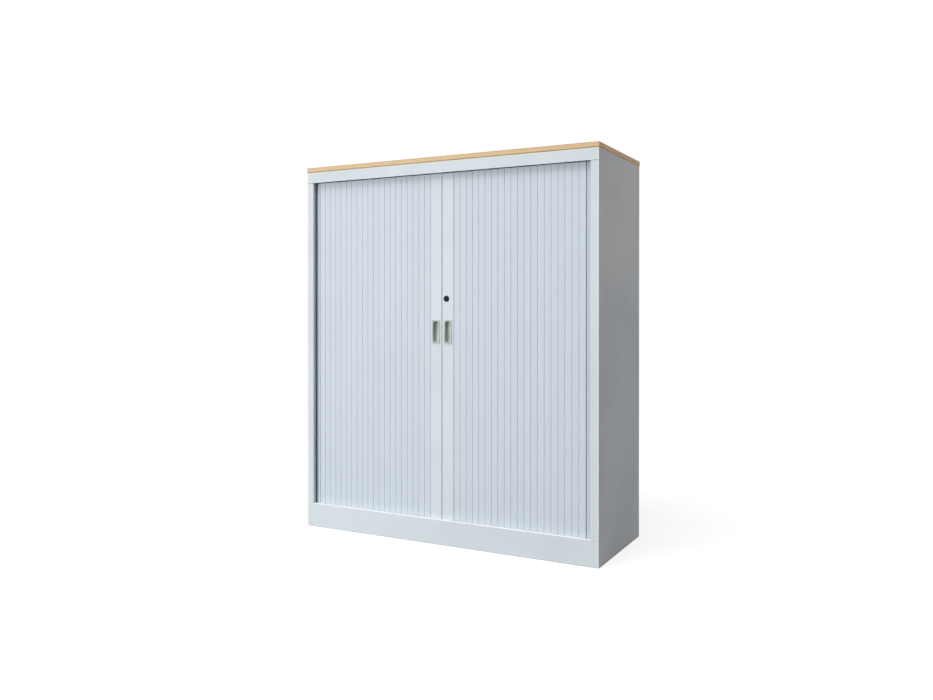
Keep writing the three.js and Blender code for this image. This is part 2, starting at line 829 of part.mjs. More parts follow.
// Pieces that come in a left and a right
for (const [sideName, side] of [["left", -1], ["right", 1]]) {
  addPiece(`${sideName}_side_panel`, sidePanel(side), "paintedSteel");
  addPiece(`${sideName}_liner`, liner(side), "paintedSteel");
  shelfRows.forEach((row, index) => {
    addPiece(`${sideName}_hanger_${index + 1}`, shelfHanger(side, row), "zincSteel");
  });
  addPiece(`${sideName}_lower_track`, track(side, lowerTrackZ, true), "trackPlastic");
  addPiece(`${sideName}_upper_track`, track(side, upperTrackZ, false), "trackPlastic");
  addPiece(`${sideName}_lead_post`, leadPost(side), "paintedSteel");
  addPiece(`${sideName}_lower_cap`, leadCap(side, false), "capPlastic");
  addPiece(`${sideName}_upper_cap`, leadCap(side, true), "capPlastic");
  addPiece(`${sideName}_handle_cup`, handleCup(side), "cupMetal");
  addCurtain(sideName, side);
}

// Lock
addPiece("lock_housing", lockHousing(), "lockBlack");
addPiece("lock_nut", lockNut(), "zincSteel");
addPiece("lock_plug", lockPlug(), "lockBlack");
addPiece("lock_hook", lockHook(), "zincSteel");
addPiece("hook_screw", camScrew(), "zincSteel");
addPiece("strike_plate", strikePlate(), "zincSteel");

export default cabinet;
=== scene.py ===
# %% [markdown]
# # A cabinet with tambour doors
# The object is an office cabinet of folded sheet steel under a wooden top. Two curtains of upright
# slats close it. The lesson dresses a finished CAD model: the model gives every place and size, and
# Blender gives the rounded folds, the surfaces and the light.

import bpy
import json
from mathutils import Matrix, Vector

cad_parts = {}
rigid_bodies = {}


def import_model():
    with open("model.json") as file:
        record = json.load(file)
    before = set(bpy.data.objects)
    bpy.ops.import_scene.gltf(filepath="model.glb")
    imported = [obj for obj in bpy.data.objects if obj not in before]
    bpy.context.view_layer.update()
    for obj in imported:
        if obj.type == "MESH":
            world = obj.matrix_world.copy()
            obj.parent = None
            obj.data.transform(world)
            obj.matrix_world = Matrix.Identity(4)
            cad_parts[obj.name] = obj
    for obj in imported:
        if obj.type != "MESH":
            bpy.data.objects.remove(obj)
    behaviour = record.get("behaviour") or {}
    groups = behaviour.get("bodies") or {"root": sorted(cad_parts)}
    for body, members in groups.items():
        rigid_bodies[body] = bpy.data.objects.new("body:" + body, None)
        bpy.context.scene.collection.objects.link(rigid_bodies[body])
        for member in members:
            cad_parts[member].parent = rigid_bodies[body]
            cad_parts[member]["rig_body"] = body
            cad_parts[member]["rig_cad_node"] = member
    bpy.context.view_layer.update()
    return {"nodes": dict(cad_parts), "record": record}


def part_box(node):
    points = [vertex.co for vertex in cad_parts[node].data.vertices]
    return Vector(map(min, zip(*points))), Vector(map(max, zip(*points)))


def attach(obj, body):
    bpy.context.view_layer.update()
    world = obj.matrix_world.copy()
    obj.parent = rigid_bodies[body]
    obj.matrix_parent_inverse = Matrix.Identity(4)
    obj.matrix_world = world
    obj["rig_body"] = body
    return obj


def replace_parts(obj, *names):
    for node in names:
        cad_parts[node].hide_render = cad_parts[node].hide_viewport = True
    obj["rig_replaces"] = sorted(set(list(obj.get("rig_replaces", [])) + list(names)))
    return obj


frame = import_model()

# %% Modules
import json
import math

import bmesh
import bpy
from mathutils import Vector

MM = 0.001
# Turns a piece's own Z axis towards the front
TOWARDS_FRONT = (math.radians(90), 0, 0)
print("Blender", bpy.app.version_string)

# %% [markdown]
# ## Tools of the bench
# Modelling by hand means: select one piece, enter edit mode, select some faces or edges, run an
# operator, leave. The helpers below say those steps in short. `pick` selects by place, because a
# script has no mouse to click with.

# %% Select, edit and pick
def deselect():
    if bpy.context.object and bpy.context.object.mode != "OBJECT":
        bpy.ops.object.mode_set(mode="OBJECT")
    bpy.ops.object.select_all(action="DESELECT")


def activate(*pieces):
    deselect()
    for piece in pieces:
        piece.select_set(True)
    bpy.context.view_layer.objects.active = pieces[0]


def start_edit(piece):
    activate(piece)
    bpy.ops.object.mode_set(mode="EDIT")


def end_edit():
    bpy.ops.object.mode_set(mode="OBJECT")


def select_all():
    bpy.ops.mesh.select_all(action="SELECT")


def pick(kind, test):
    """In edit mode, select the edges (EDGE) or faces (FACE) that pass the test."""
    bpy.ops.mesh.select_mode(type=kind)
    bpy.ops.mesh.select_all(action="DESELECT")
    mesh = bmesh.from_edit_mesh(bpy.context.edit_object.data)
    parts = {"EDGE": mesh.edges, "FACE": mesh.faces}[kind]
    for part in [part for part in parts if test(part)]:
        part.select_set(True)
    bmesh.update_edit_mesh(bpy.context.edit_object.data)


def middle(part):
    """The middle of an edge or a face."""
    return sum((vertex.co for vertex in part.verts), Vector()) / len(part.verts)


def near(a, b, reach=0.02 * MM):
    return abs(a - b) < reach


def runs_along(edge, axis):
    step = edge.verts[1].co - edge.verts[0].co
    return abs(step[axis]) > 0.99 * step.length


def extrude(step):
    bpy.ops.mesh.extrude_region_move(TRANSFORM_OT_translate={"value": step})


def round_edges(radius, segments):
    bpy.ops.mesh.bevel(offset=radius, segments=segments, affect="EDGES")


def face_outward():
    select_all()
    bpy.ops.mesh.normals_make_consistent(inside=False)


def apply_place():
    """Put the piece's place, turn and scale into its mesh, so that it stands at the origin."""
    bpy.ops.object.transform_apply(location=True, rotation=True, scale=True)


print("bench ready")

# %% Primitives, modifiers and copies
def made(name):
    """The piece that an operator has just made, now with its name."""
    piece = bpy.context.object
    piece.name = piece.data.name = name
    return piece


def block(name, low, high):
    """A cube between two corners, with its place in its mesh."""
    deselect()
    low, high = Vector(low), Vector(high)
    bpy.ops.mesh.primitive_cube_add(size=1, location=(low + high) / 2, scale=high - low)
    piece = made(name)
    apply_place()
    return piece


def modify(piece, kind, **settings):
    """Add a modifier, set it and apply it at once."""
    activate(piece)
    modifier = piece.modifiers.new(kind.title(), kind)
    for key, value in settings.items():
        setattr(modifier, key, value)
    bpy.ops.object.modifier_apply(modifier=modifier.name)
    return piece


def soften_edges(piece, width, segments=2, angle=35):
    return modify(piece, "BEVEL", width=width, segments=segments, limit_method="ANGLE",
                  angle_limit=math.radians(angle), use_clamp_overlap=True, harden_normals=False)


def cut_away(piece, tool):
    """Take the tool's volume out of the piece, then throw the tool away."""
    modify(piece, "BOOLEAN", operation="DIFFERENCE", solver="EXACT", object=tool)
    bpy.data.objects.remove(tool)
    return piece


def merge(piece, *others):
    activate(piece, *others)
    bpy.ops.object.join()
    return piece


def copy_of(piece, name, move=(0, 0, 0)):
    """A copy with its own mesh, moved in its mesh."""
    activate(piece)
    bpy.ops.object.duplicate()
    twin = made(name)
    twin.location = move
    bpy.ops.object.transform_apply(location=True, rotation=False, scale=False)
    return twin


def mirror_of(piece, name):
    """A copy on the other side of the cabinet, with its faces turned to the outside again."""
    twin = copy_of(piece, name)
    start_edit(twin)
    select_all()
    bpy.ops.transform.mirror(constraint_axis=(True, False, False), center_override=(0, 0, 0))
    bpy.ops.mesh.flip_normals()
    end_edit()
    return twin


print("primitives ready")

# %% [markdown]
# ## Effects that several finishes share
# A node group is built once and used in many materials, each with its own values. The groups give
# only masks, heights and colours. The shader stays in the material, where its sockets can be read.

# %% Helpers for node groups
def colour(red, green, blue):
    """An sRGB colour of 0 to 255 as the linear colour that a shader takes."""
    channels = [channel / 255 for channel in (red, green, blue)]
    return tuple(c / 12.92 if c <= 0.04045 else ((c + 0.055) / 1.055) ** 2.4 for c in channels) + (1,)


def new_group(name, inputs, outputs):
    """A group and its sockets. An input is a number with its usual value, or a vector for None."""
    group = bpy.data.node_groups.new(name, "ShaderNodeTree")
    for socket, value in inputs.items():
        kind = "NodeSocketVector" if value is None else "NodeSocketFloat"
        made = group.interface.new_socket(socket, in_out="INPUT", socket_type=kind)
        if value is not None:
            made.default_value = value
    for socket in outputs:
        group.interface.new_socket(socket, in_out="OUTPUT", socket_type="NodeSocketFloat")
    given = group.nodes.new("NodeGroupInput").outputs
    return group, given, group.nodes.new("NodeGroupOutput").inputs


def add(tree, kind, **settings):
    node = tree.nodes.new(kind)
    for key, value in settings.items():
        setattr(node, key, value)
    return node


def join(source, target):
    """Link two sockets, in the tree that the target belongs to."""
    target.id_data.links.new(source, target)


def feed(value, socket):
    """Give a socket a plain value, or join it to the output of another node."""
    if isinstance(value, bpy.types.NodeSocket):
        join(value, socket)
    else:
        socket.default_value = value


def maths(operation, *values, clamp=False):
    """A step of arithmetic. Like the helpers below, it works in the tree of a socket it is given."""
    tree = next(value.id_data for value in values if isinstance(value, bpy.types.NodeSocket))
    node = add(tree, "ShaderNodeMath", operation=operation, use_clamp=clamp)
    for socket, value in zip(node.inputs, values):
        feed(value, socket)
    return node.outputs[0]


def ramp(value, low, high):
    """0 below low, 1 above high, smooth between."""
    node = add(value.id_data, "ShaderNodeMapRange", interpolation_type="SMOOTHSTEP", clamp=True)
    for name, given in (("Value", value), ("From Min", low), ("From Max", high)):
        feed(given, node.inputs[name])
    return node.outputs["Result"]


def noise(vector, scale, detail=2.0, roughness=0.5):
    node = add(vector.id_data, "ShaderNodeTexNoise")
    given = {"Vector": vector, "Scale": scale, "Detail": detail, "Roughness": roughness}
    for name, value in given.items():
        feed(value, node.inputs[name])
    return node.outputs["Fac"]


def mix_colours(share, first, second, mode="MIX"):
    node = add(share.id_data, "ShaderNodeMix", data_type="RGBA", blend_type=mode, clamp_factor=True)
    for index, value in ((0, share), (6, first), (7, second)):
        feed(value, node.inputs[index])
    return node.outputs[2]


def tint(tone, mask, share, over, mode="MIX"):
    """Lay another colour over the tone, by a share of the mask."""
    return mix_colours(maths("MULTIPLY", mask, share), tone, over, mode)


def split_axes(vector):
    node = add(vector.id_data, "ShaderNodeSeparateXYZ")
    join(vector, node.inputs["Vector"])
    return node.outputs


def stretched(vector, scale, rotation=(0, 0, 0)):
    node = add(vector.id_data, "ShaderNodeMapping")
    node.inputs["Scale"].default_value = scale
    node.inputs["Rotation"].default_value = rotation
    join(vector, node.inputs["Vector"])
    return node.outputs["Vector"]


print("node helpers ready")

# %% [markdown]
# ## Skin of a powder coat
# A powder coat melts into a skin with a faint ripple like orange peel, and collects small specks
# and pale smears where hands touch it. Two noises of different size make the ripple, and a slow one
# makes the smears.

# %% Group: coated skin
coated_skin, skin_in, skin_out = new_group(
    "coated_skin", {"Vector": None, "Ripple Scale": 520.0, "Smear Scale": 3.0},
    ["Height", "Smear", "Speck"],
)
ripple = noise(skin_in["Vector"], skin_in["Ripple Scale"], 1.5)
fine_scale = maths("MULTIPLY", skin_in["Ripple Scale"], 3.1)
fine = noise(skin_in["Vector"], fine_scale, 0.0)
height = maths("MULTIPLY_ADD", fine, 0.25, ripple)
join(height, skin_out["Height"])
smear = noise(skin_in["Vector"], skin_in["Smear Scale"], 4.0, 0.6)
join(smear, skin_out["Smear"])
speck_scale = maths("MULTIPLY", skin_in["Ripple Scale"], 0.9)
speck = ramp(noise(skin_in["Vector"], speck_scale, 0.0), 0.74, 0.8)
join(speck, skin_out["Speck"])
print("coated_skin:", len(coated_skin.nodes), "nodes")

# %% [markdown]
# ## Grain
# Wood grain is one noise, stretched along the board until it draws long fibres, over a slower noise
# that makes the darker bands of the growth rings. The group takes the stretched vector, so the same
# group serves the faces and both kinds of edge.

# %% Group: beech grain
beech_grain, grain_in, grain_out = new_group(
    "beech_grain", {"Vector": None, "Fibre Scale": 60.0}, ["Ring", "Fibre", "Fleck"],
)
slow_scale = maths("MULTIPLY", grain_in["Fibre Scale"], 0.12)
ring = noise(grain_in["Vector"], slow_scale, 3.0, 0.55)
join(ring, grain_out["Ring"])
fibre = noise(grain_in["Vector"], grain_in["Fibre Scale"], 3.0, 0.6)
join(fibre, grain_out["Fibre"])
fleck_scale = maths("MULTIPLY", grain_in["Fibre Scale"], 1.9)
fleck = ramp(noise(grain_in["Vector"], fleck_scale, 1.0), 0.62, 0.72)
join(fleck, grain_out["Fleck"])
print("beech_grain:", len(beech_grain.nodes), "nodes")

# %% [markdown]
# ## Scratches and rub marks
# Bare, plated or painted metal shows fine scratches in one direction. A noise squeezed across that
# direction and cut off high leaves only thin lines.

# %% Group: fine scratches
fine_scratches, scratch_in, scratch_out = new_group(
    "fine_scratches", {"Vector": None, "Scale": 300.0}, ["Line", "Cloud"],
)
squeezed = stretched(scratch_in["Vector"], (1.0, 1.0, 0.05), (0.15, 0.4, 0.1))
squeezed = noise(squeezed, scratch_in["Scale"], 2.0)
line = ramp(squeezed, 0.6, 0.7)
join(line, scratch_out["Line"])
cloud_scale = maths("MULTIPLY", scratch_in["Scale"], 0.08)
cloud = noise(scratch_in["Vector"], cloud_scale, 3.0)
join(cloud, scratch_out["Cloud"])
print("fine_scratches:", len(fine_scratches.nodes), "nodes")

# %% [markdown]
# ## Start of every material
# Each material begins alike: a shader, a place on the object that its patterns can follow, and a
# bump for what is too fine to model. One helper makes that start, and another puts a shared group in.

# %% Start of every material
def new_material(name):
    """A material with its shader, its object coordinates and a bump, ready to be joined."""
    material = bpy.data.materials.new(name)
    material.use_nodes = True
    tree = material.node_tree
    shader = tree.nodes["Principled BSDF"]
    place = add(tree, "ShaderNodeTexCoord").outputs["Object"]
    bump = add(tree, "ShaderNodeBump")
    join(bump.outputs["Normal"], shader.inputs["Normal"])
    return material, shader, place, bump


def set_bump(bump, height, strength, distance=0.1 * MM):
    join(height, bump.inputs["Height"])
    bump.inputs["Strength"].default_value = strength
    bump.inputs["Distance"].default_value = distance


def use_group(group, place, **values):
    node = add(place.id_data, "ShaderNodeGroup", node_tree=group)
    join(place, node.inputs["Vector"])
    for key, value in values.items():
        node.inputs[key.replace("_", " ")].default_value = value
    return node.outputs


print("material helpers ready")

# %% [markdown]
# ## Painted light and shade on a folded carcass
# These masks paint light and shade into the coat's colour: a painted highlight on the front beside a
# corner, a creamy painted highlight just under the board, a painted highlight where it faces up, and
# painted shade, dark and dull, where it faces down. The group finds those places from the height,
# the distance to a corner and the way that a face looks.

# %% Group: painted light and shade of the folds
painted_fold_light, fold_in, fold_out = new_group(
    "painted_fold_light",
    {
        "Vector": None, "Normal": None, "Half Width": 599 * MM, "Front": -224 * MM,
        "Top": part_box("header_rail")[1].z,
    },
    ["Corner", "Rim_Highlight", "Upward_Highlight", "Under"],
)
place = split_axes(fold_in["Vector"])
off_middle = maths("ABSOLUTE", place["X"])
to_side = maths("SUBTRACT", off_middle, fold_in["Half Width"])
to_front = maths("SUBTRACT", place["Y"], fold_in["Front"])
on_front = maths("SUBTRACT", 1.0, ramp(to_front, 0.5 * MM, 2.0 * MM))
beside_corner = ramp(to_side, -7.0 * MM, -3.5 * MM)
# Painted highlight on the front beside a corner
join(maths("MULTIPLY", beside_corner, on_front), fold_out["Corner"])
to_top = maths("SUBTRACT", place["Z"], fold_in["Top"])
# Painted highlight: a creamy band just under the board
join(ramp(to_top, -5.5 * MM, -3.0 * MM), fold_out["Rim_Highlight"])
upward = split_axes(fold_in["Normal"])["Z"]
# Painted highlight on faces that look up
join(ramp(upward, 0.35, 0.9), fold_out["Upward_Highlight"])
downward = maths("MULTIPLY", upward, -1.0)
# Painted shade on faces that look down
join(ramp(downward, 0.15, 0.65), fold_out["Under"])
print("painted_fold_light:", len(painted_fold_light.nodes), "nodes")

# %% [markdown]
# ## Painted steel
# The carcass is coated a cool, very pale grey. The coat is satin, so its gloss stays soft, and the
# ripple of its skin breaks up the reflections. Smears change only the gloss and a trace of colour.
# The painted highlights and painted shade of the folds are laid over it one after another, each with its
# own share.

# %% Painted steel
def coated_material(name, base, shade, roughness, ripple_scale, bump_strength):
    """A satin coat: smears change the gloss and a trace of the colour, specks darken it."""
    material, shader, place, bump = new_material(name)
    skin = use_group(coated_skin, place, Ripple_Scale=ripple_scale)
    smear = ramp(skin["Smear"], 0.35, 0.7)
    tone = mix_colours(smear, base, shade)
    tone = tint(tone, skin["Speck"], 0.25, shade, "MULTIPLY")
    join(tone, shader.inputs["Base Color"])
    gloss = maths("MULTIPLY_ADD", smear, 0.08, roughness - 0.04)
    join(gloss, shader.inputs["Roughness"])
    set_bump(bump, skin["Height"], bump_strength)
    return material, tone, shader, place


painted_steel, tone, shader, place = coated_material(
    "painted_steel", colour(213, 222, 226), colour(208, 217, 222), 0.55, 520.0, 0.35
)
shader.inputs["Specular IOR Level"].default_value = 0.35
folds = use_group(painted_fold_light, place)
facing = add(painted_steel.node_tree, "ShaderNodeNewGeometry").outputs["Normal"]
join(facing, folds["Corner"].node.inputs["Normal"])
# Painted highlight beside the corner, in a near-white colour
tone = tint(tone, folds["Corner"], 0.55, colour(236, 244, 248))
# Painted highlight just under the board, in cream
tone = tint(tone, folds["Rim_Highlight"], 0.7, colour(232, 228, 206))
# Painted highlight on faces that look up
tone = tint(tone, folds["Upward_Highlight"], 0.8, colour(240, 244, 246))
# Painted shade on faces that look down: mixed toward near-black, and its gloss dulled with it
under = maths("MULTIPLY", folds["Under"], 0.95)
tone = mix_colours(under, tone, colour(30, 34, 42))
gloss = shader.inputs["Roughness"].links[0].from_socket
join(maths("MAXIMUM", gloss, under), shader.inputs["Roughness"])
join(tone, shader.inputs["Base Color"])
print("painted_steel:", len(painted_steel.node_tree.nodes), "nodes")

# %% [markdown]
# ## Slat plastic
# The slats are extruded, so their surface has a faint drawn line along its length, and no two slats
# come out of the die at quite the same tone. Rounding the place down to whole slats and giving each
# number its own random value makes that difference.

# %% Slat plastic
PITCH = 25 * MM
# The first hinge line stands this much before two whole pitches from the middle
HINGE_SHIFT = 1.35 * MM
slat_plastic, shader, place, bump = new_material("slat_plastic")
drawn = noise(stretched(place, (1.0, 1.0, 0.02)), 900.0, 2.0)
skin = use_group(coated_skin, place, Ripple_Scale=700.0)
off_middle = maths("ABSOLUTE", split_axes(place)["X"])
shifted = maths("ADD", off_middle, HINGE_SHIFT)
slat_number = maths("FLOOR", maths("DIVIDE", shifted, PITCH))
own_tone = add(slat_plastic.node_tree, "ShaderNodeTexWhiteNoise", noise_dimensions="1D")
join(slat_number, own_tone.inputs["W"])
tone = mix_colours(own_tone.outputs["Value"], colour(202, 212, 220), colour(204, 214, 222))
tone = tint(tone, ramp(skin["Smear"], 0.45, 0.75), 0.5, colour(199, 208, 217))
join(tone, shader.inputs["Base Color"])
join(maths("MULTIPLY_ADD", drawn, 0.1, 0.48), shader.inputs["Roughness"])
shader.inputs["Specular IOR Level"].default_value = 0.4
set_bump(bump, drawn, 0.25)
print("slat_plastic:", len(slat_plastic.node_tree.nodes), "nodes")

# %% [markdown]
# ## Painted shade between the slats
# Little light falls between two slats. A darker plastic on the slats' narrow sides paints that shade as
# lines, without a deeper groove.

# %% Painted shade in the grooves
# A darker plastic that paints the shade between the slats
painted_groove_shade = coated_material(
    "painted_groove_shade", colour(148, 156, 167), colour(132, 140, 152), 0.6, 700.0, 0.3
)[0]
print("painted_groove_shade:", len(painted_groove_shade.node_tree.nodes), "nodes")

# %% [markdown]
# ## Beech laminate
# The top is a board with a printed beech face and thin beech bands glued on its edges. The grain
# runs along the board on the faces and the long edges, and along the depth on the short ones. The
# glue lines stay a little darker than the wood, and the lower one also holds painted shadow of the
# gap over the steel. Both are drawn by height with a narrow ramp.

# %% Beech laminate
# Where each tone fades in, as distances from the board's upper or lower face
UPPER_GLUE, UPPER_FACE, LOWER_GLUE_AND_SHADOW = (2.6 * MM, 1.6 * MM), (0.5 * MM, 0.2 * MM), (2.4 * MM, 3.6 * MM)


def glue_lines_and_shadow(place):
    """1 on the two dark lines where a band is glued on, by their height, and 0 elsewhere. The lower line
    is also painted shadow of the gap over the steel.
    """
    height = split_axes(place)["Z"]
    low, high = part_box("wood_top")
    above = ramp(height, high.z - UPPER_GLUE[0], high.z - UPPER_GLUE[1])
    level_top = ramp(height, high.z - UPPER_FACE[0], high.z - UPPER_FACE[1])
    glue_top = maths("SUBTRACT", above, level_top, clamp=True)
    below = ramp(height, low.z + LOWER_GLUE_AND_SHADOW[0], low.z + LOWER_GLUE_AND_SHADOW[1])
    glue_and_shadow_low = maths("SUBTRACT", 1.0, below, clamp=True)
    return maths("MAXIMUM", glue_top, glue_and_shadow_low)


def beech_material(name, stretch_scale, light, dark):
    material, shader, place, bump = new_material(name)
    along = stretched(place, stretch_scale)
    grain = use_group(beech_grain, along, Fibre_Scale=90.0)
    tone = mix_colours(ramp(grain["Ring"], 0.3, 0.7), light, dark)
    tone = tint(tone, ramp(grain["Fibre"], 0.4, 0.75), 0.55, dark)
    tone = tint(tone, grain["Fleck"], 0.35, colour(178, 134, 88))
    # Dark glue lines; the lower one is also painted shadow of the gap over the steel
    tone = tint(tone, glue_lines_and_shadow(place), 0.6, colour(120, 98, 66))
    join(tone, shader.inputs["Base Color"])
    gloss = maths("MULTIPLY_ADD", grain["Fibre"], 0.15, 0.4)
    join(gloss, shader.inputs["Roughness"])
    set_bump(bump, grain["Fibre"], 0.2)
    return material


beech_long = beech_material("beech_long", (0.05, 1.0, 1.0), colour(227, 197, 150), colour(212, 178, 130))
beech_cross = beech_material("beech_cross", (1.0, 0.05, 1.0), colour(226, 178, 118), colour(201, 150, 92))
print("beech:", beech_long.name, beech_cross.name)

# %% [markdown]
# ## Moulded plastic, plated steel and the black lock
# The small parts keep plain colours, but each has its own surface. The tracks and caps are moulded
# with a fine matt texture, the steel is zinc plated with a cloudy bloom, the handle cups are pressed
# and painted in a metallic grey, and the lock is black with fine scratches.

# %% Track and cap plastic
track_plastic = coated_material(
    "track_plastic", colour(66, 69, 73), colour(56, 59, 63), 0.55, 900.0, 0.5
)[0]
cap_plastic = coated_material(
    "cap_plastic", colour(141, 148, 153), colour(130, 137, 142), 0.5, 900.0, 0.5
)[0]
print("moulded:", track_plastic.name, cap_plastic.name)

# %% Metal of the cups, the plated parts and the lock
def scratched_material(name, base, worn, roughness, metallic, scale, line_share):
    material, shader, place, bump = new_material(name)
    marks = use_group(fine_scratches, place, Scale=scale)
    bloom = ramp(marks["Cloud"], 0.35, 0.65)
    tone = mix_colours(bloom, base, worn)
    join(tint(tone, marks["Line"], line_share, worn), shader.inputs["Base Color"])
    shader.inputs["Metallic"].default_value = metallic
    gloss = maths("MULTIPLY_ADD", bloom, 0.1, roughness - 0.05)
    join(gloss, shader.inputs["Roughness"])
    set_bump(bump, marks["Line"], 0.15, 0.05 * MM)
    return material


cup_metal = scratched_material(
    "cup_metal", colour(187, 195, 187), colour(178, 186, 178), 0.55, 0.05, 350.0, 0.4
)
cup_metal.node_tree.nodes["Principled BSDF"].inputs["Specular IOR Level"].default_value = 0.25
zinc_steel = scratched_material(
    "zinc_steel", colour(186, 190, 194), colour(160, 166, 172), 0.35, 0.9, 260.0, 0.5
)
lock_black = scratched_material("lock_black", colour(6, 7, 8), colour(18, 20, 22), 0.36, 0.0, 500.0, 0.5)
lock_black.node_tree.nodes["Principled BSDF"].inputs["Specular IOR Level"].default_value = 0.08
print("metals:", cup_metal.name, zinc_steel.name, lock_black.name)

finish_of_slot = {
    "painted_steel": painted_steel, "slat_plastic": slat_plastic, "wood_laminate": beech_long,
    "track_plastic": track_plastic, "cap_plastic": cap_plastic, "cup_metal": cup_metal,
    "zinc_steel": zinc_steel, "lock_black": lock_black,
}

# %% [markdown]
# ## Handing over
# Every finished piece gets smooth shading with weighted normals, so that flat faces stay flat beside
# their rounded edges. It is told which body carries it and which nodes of the CAD model it stands for.

# %% Hand a piece over to its body
def hand_over(piece, slot, *nodes):
    """Finish a piece: smooth shading, its material, its body and the CAD nodes it stands for."""
    body = body_of_node[nodes[0]]
    activate(piece)
    bpy.ops.object.shade_smooth_by_angle(angle=math.radians(35))
    modify(piece, "WEIGHTED_NORMAL", mode="FACE_AREA", weight=100, keep_sharp=True)
    if not piece.data.materials:
        piece.data.materials.append(finish_of_slot[slot])
    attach(piece, body)
    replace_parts(piece, *nodes)
    low = [round(min(v.co[axis] for v in piece.data.vertices), 4) for axis in range(3)]
    print(piece.name, len(piece.data.polygons), "faces, from", low)


def hand_over_pair(piece, slot, node):
    """Hand over a right-hand piece and its mirror image on the left."""
    twin = mirror_of(piece, piece.name.replace("right_", "left_"))
    hand_over(piece, slot, f"right_{node}")
    hand_over(twin, slot, f"left_{node}")


def two_tone(piece, main, other, test):
    """Give the faces that pass the test the other material."""
    piece.data.materials.append(main)
    piece.data.materials.append(other)
    for face in piece.data.polygons:
        face.material_index = 1 if test(face) else 0


body_of_node = {
    node: body
    for body, members in frame["record"]["behaviour"]["bodies"].items()
    for node in members
}
print("bodies:", sorted(set(body_of_node.values())))

# %% [markdown]
# ## Wooden top
# The board lies on the steel and stands a hair proud of it all round. It starts as a cube at the
# board's place. Its edges get the small radius that a router leaves, and an inset on the upper and
# lower face marks the joint between the face and the edge band.

# %% Wooden top
def wooden_top():
    """The board with its rounded edges and a fine groove round its upper and lower face."""
    low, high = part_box("wood_top")
    board = block("beech_board", low, high)
    soften_edges(board, 1.2 * MM, 3)
    start_edit(board)
    for level in (low.z, high.z):
        pick("FACE", lambda face: near(middle(face).z, level) and abs(face.normal.z) > 0.99)
        bpy.ops.mesh.inset(thickness=0.8 * MM)
        bpy.ops.mesh.inset(thickness=0.25 * MM, depth=-0.2 * MM)
        bpy.ops.mesh.inset(thickness=0.25 * MM, depth=0.2 * MM)
    end_edit()
    two_tone(board, beech_long, beech_cross, lambda face: abs(face.normal.x) > 0.5)
    return board


hand_over(wooden_top(), "wood_laminate", "wood_top")

# %% [markdown]
# ## Folded sheet
# Nearly everything else in the carcass is sheet steel, bent on a press brake. A brake leaves a
# radius at each fold, and that radius catches the light. So a sheet is drawn as the brake makes it:
# one flat leg, then the next leg extruded from its free edge, then every fold line bevelled, and at
# last the sheet is given its thickness.

# %% Folded sheet
SLIVER_AREA, SAME_PLACE = 1e-5, 1e-6


def folded_sheet(name, line, across, span, outward, radii, wall=1 * MM):
    """Fold a sheet along a line of corners. `across` is the axis that the folds run along, the
    corners give the other two places, and outward points out of the first leg's outer face."""
    axes = [axis for axis in range(3) if axis != across]

    def spot(corner, along):
        point = Vector()
        point[axes[0]], point[axes[1]], point[across] = corner[0], corner[1], along
        return point

    deselect()
    bpy.ops.mesh.primitive_plane_add(size=1)
    piece = made(name)
    first = [spot(line[0], span[0]), spot(line[1], span[0])]
    first += [spot(line[1], span[1]), spot(line[0], span[1])]
    for vertex, target in zip((piece.data.vertices[i] for i in (0, 1, 3, 2)), first):
        vertex.co = target
    start_edit(piece)

    def pick_fold(corner):
        here = spot(corner, sum(span) / 2)
        pick("EDGE", lambda edge: runs_along(edge, across)
             and (middle(edge) - here).length < SAME_PLACE)

    for start, end in zip(line[1:-1], line[2:]):
        pick_fold(start)
        extrude(spot(end, 0) - spot(start, 0))
    for corner, radius in zip(line[1:-1], radii):
        pick_fold(corner)
        round_edges(radius, 5)
    face_outward()
    leg = spot(line[0], sum(span) / 2).lerp(spot(line[1], sum(span) / 2), 0.3)
    mesh = bmesh.from_edit_mesh(piece.data)

    def distance_to_leg(face):
        off_plane = abs((leg - face.verts[0].co).dot(face.normal))
        is_sliver = face.calc_area() <= SLIVER_AREA
        return off_plane + 10 * is_sliver + (middle(face) - leg).length

    if min(mesh.faces, key=distance_to_leg).normal.dot(Vector(outward)) < 0:
        bpy.ops.mesh.flip_normals()
    end_edit()
    if wall:
        thicken(piece, wall)
    return piece


def thicken(piece, wall):
    return modify(piece, "SOLIDIFY", thickness=wall, offset=-1, use_even_offset=True, use_rim=True)


print("press brake ready")

# %% [markdown]
# ## Side panels
# One sheet makes the whole side: the flange behind, the side itself, the jamb in front and the short
# return beside the curtain. The jamb stops at the header and the plinth, so those ends are cut away
# with blocks. The left panel is the mirror of the right one.

# %% Side panels
REAR_FLANGE, FRONT_RETURN, BOTTOM_FLANGE = 20 * MM, 12.5 * MM, 15 * MM
SEAM = 0.3 * MM
PANEL_RADII = (1.8 * MM, 2.2 * MM, 1.6 * MM)


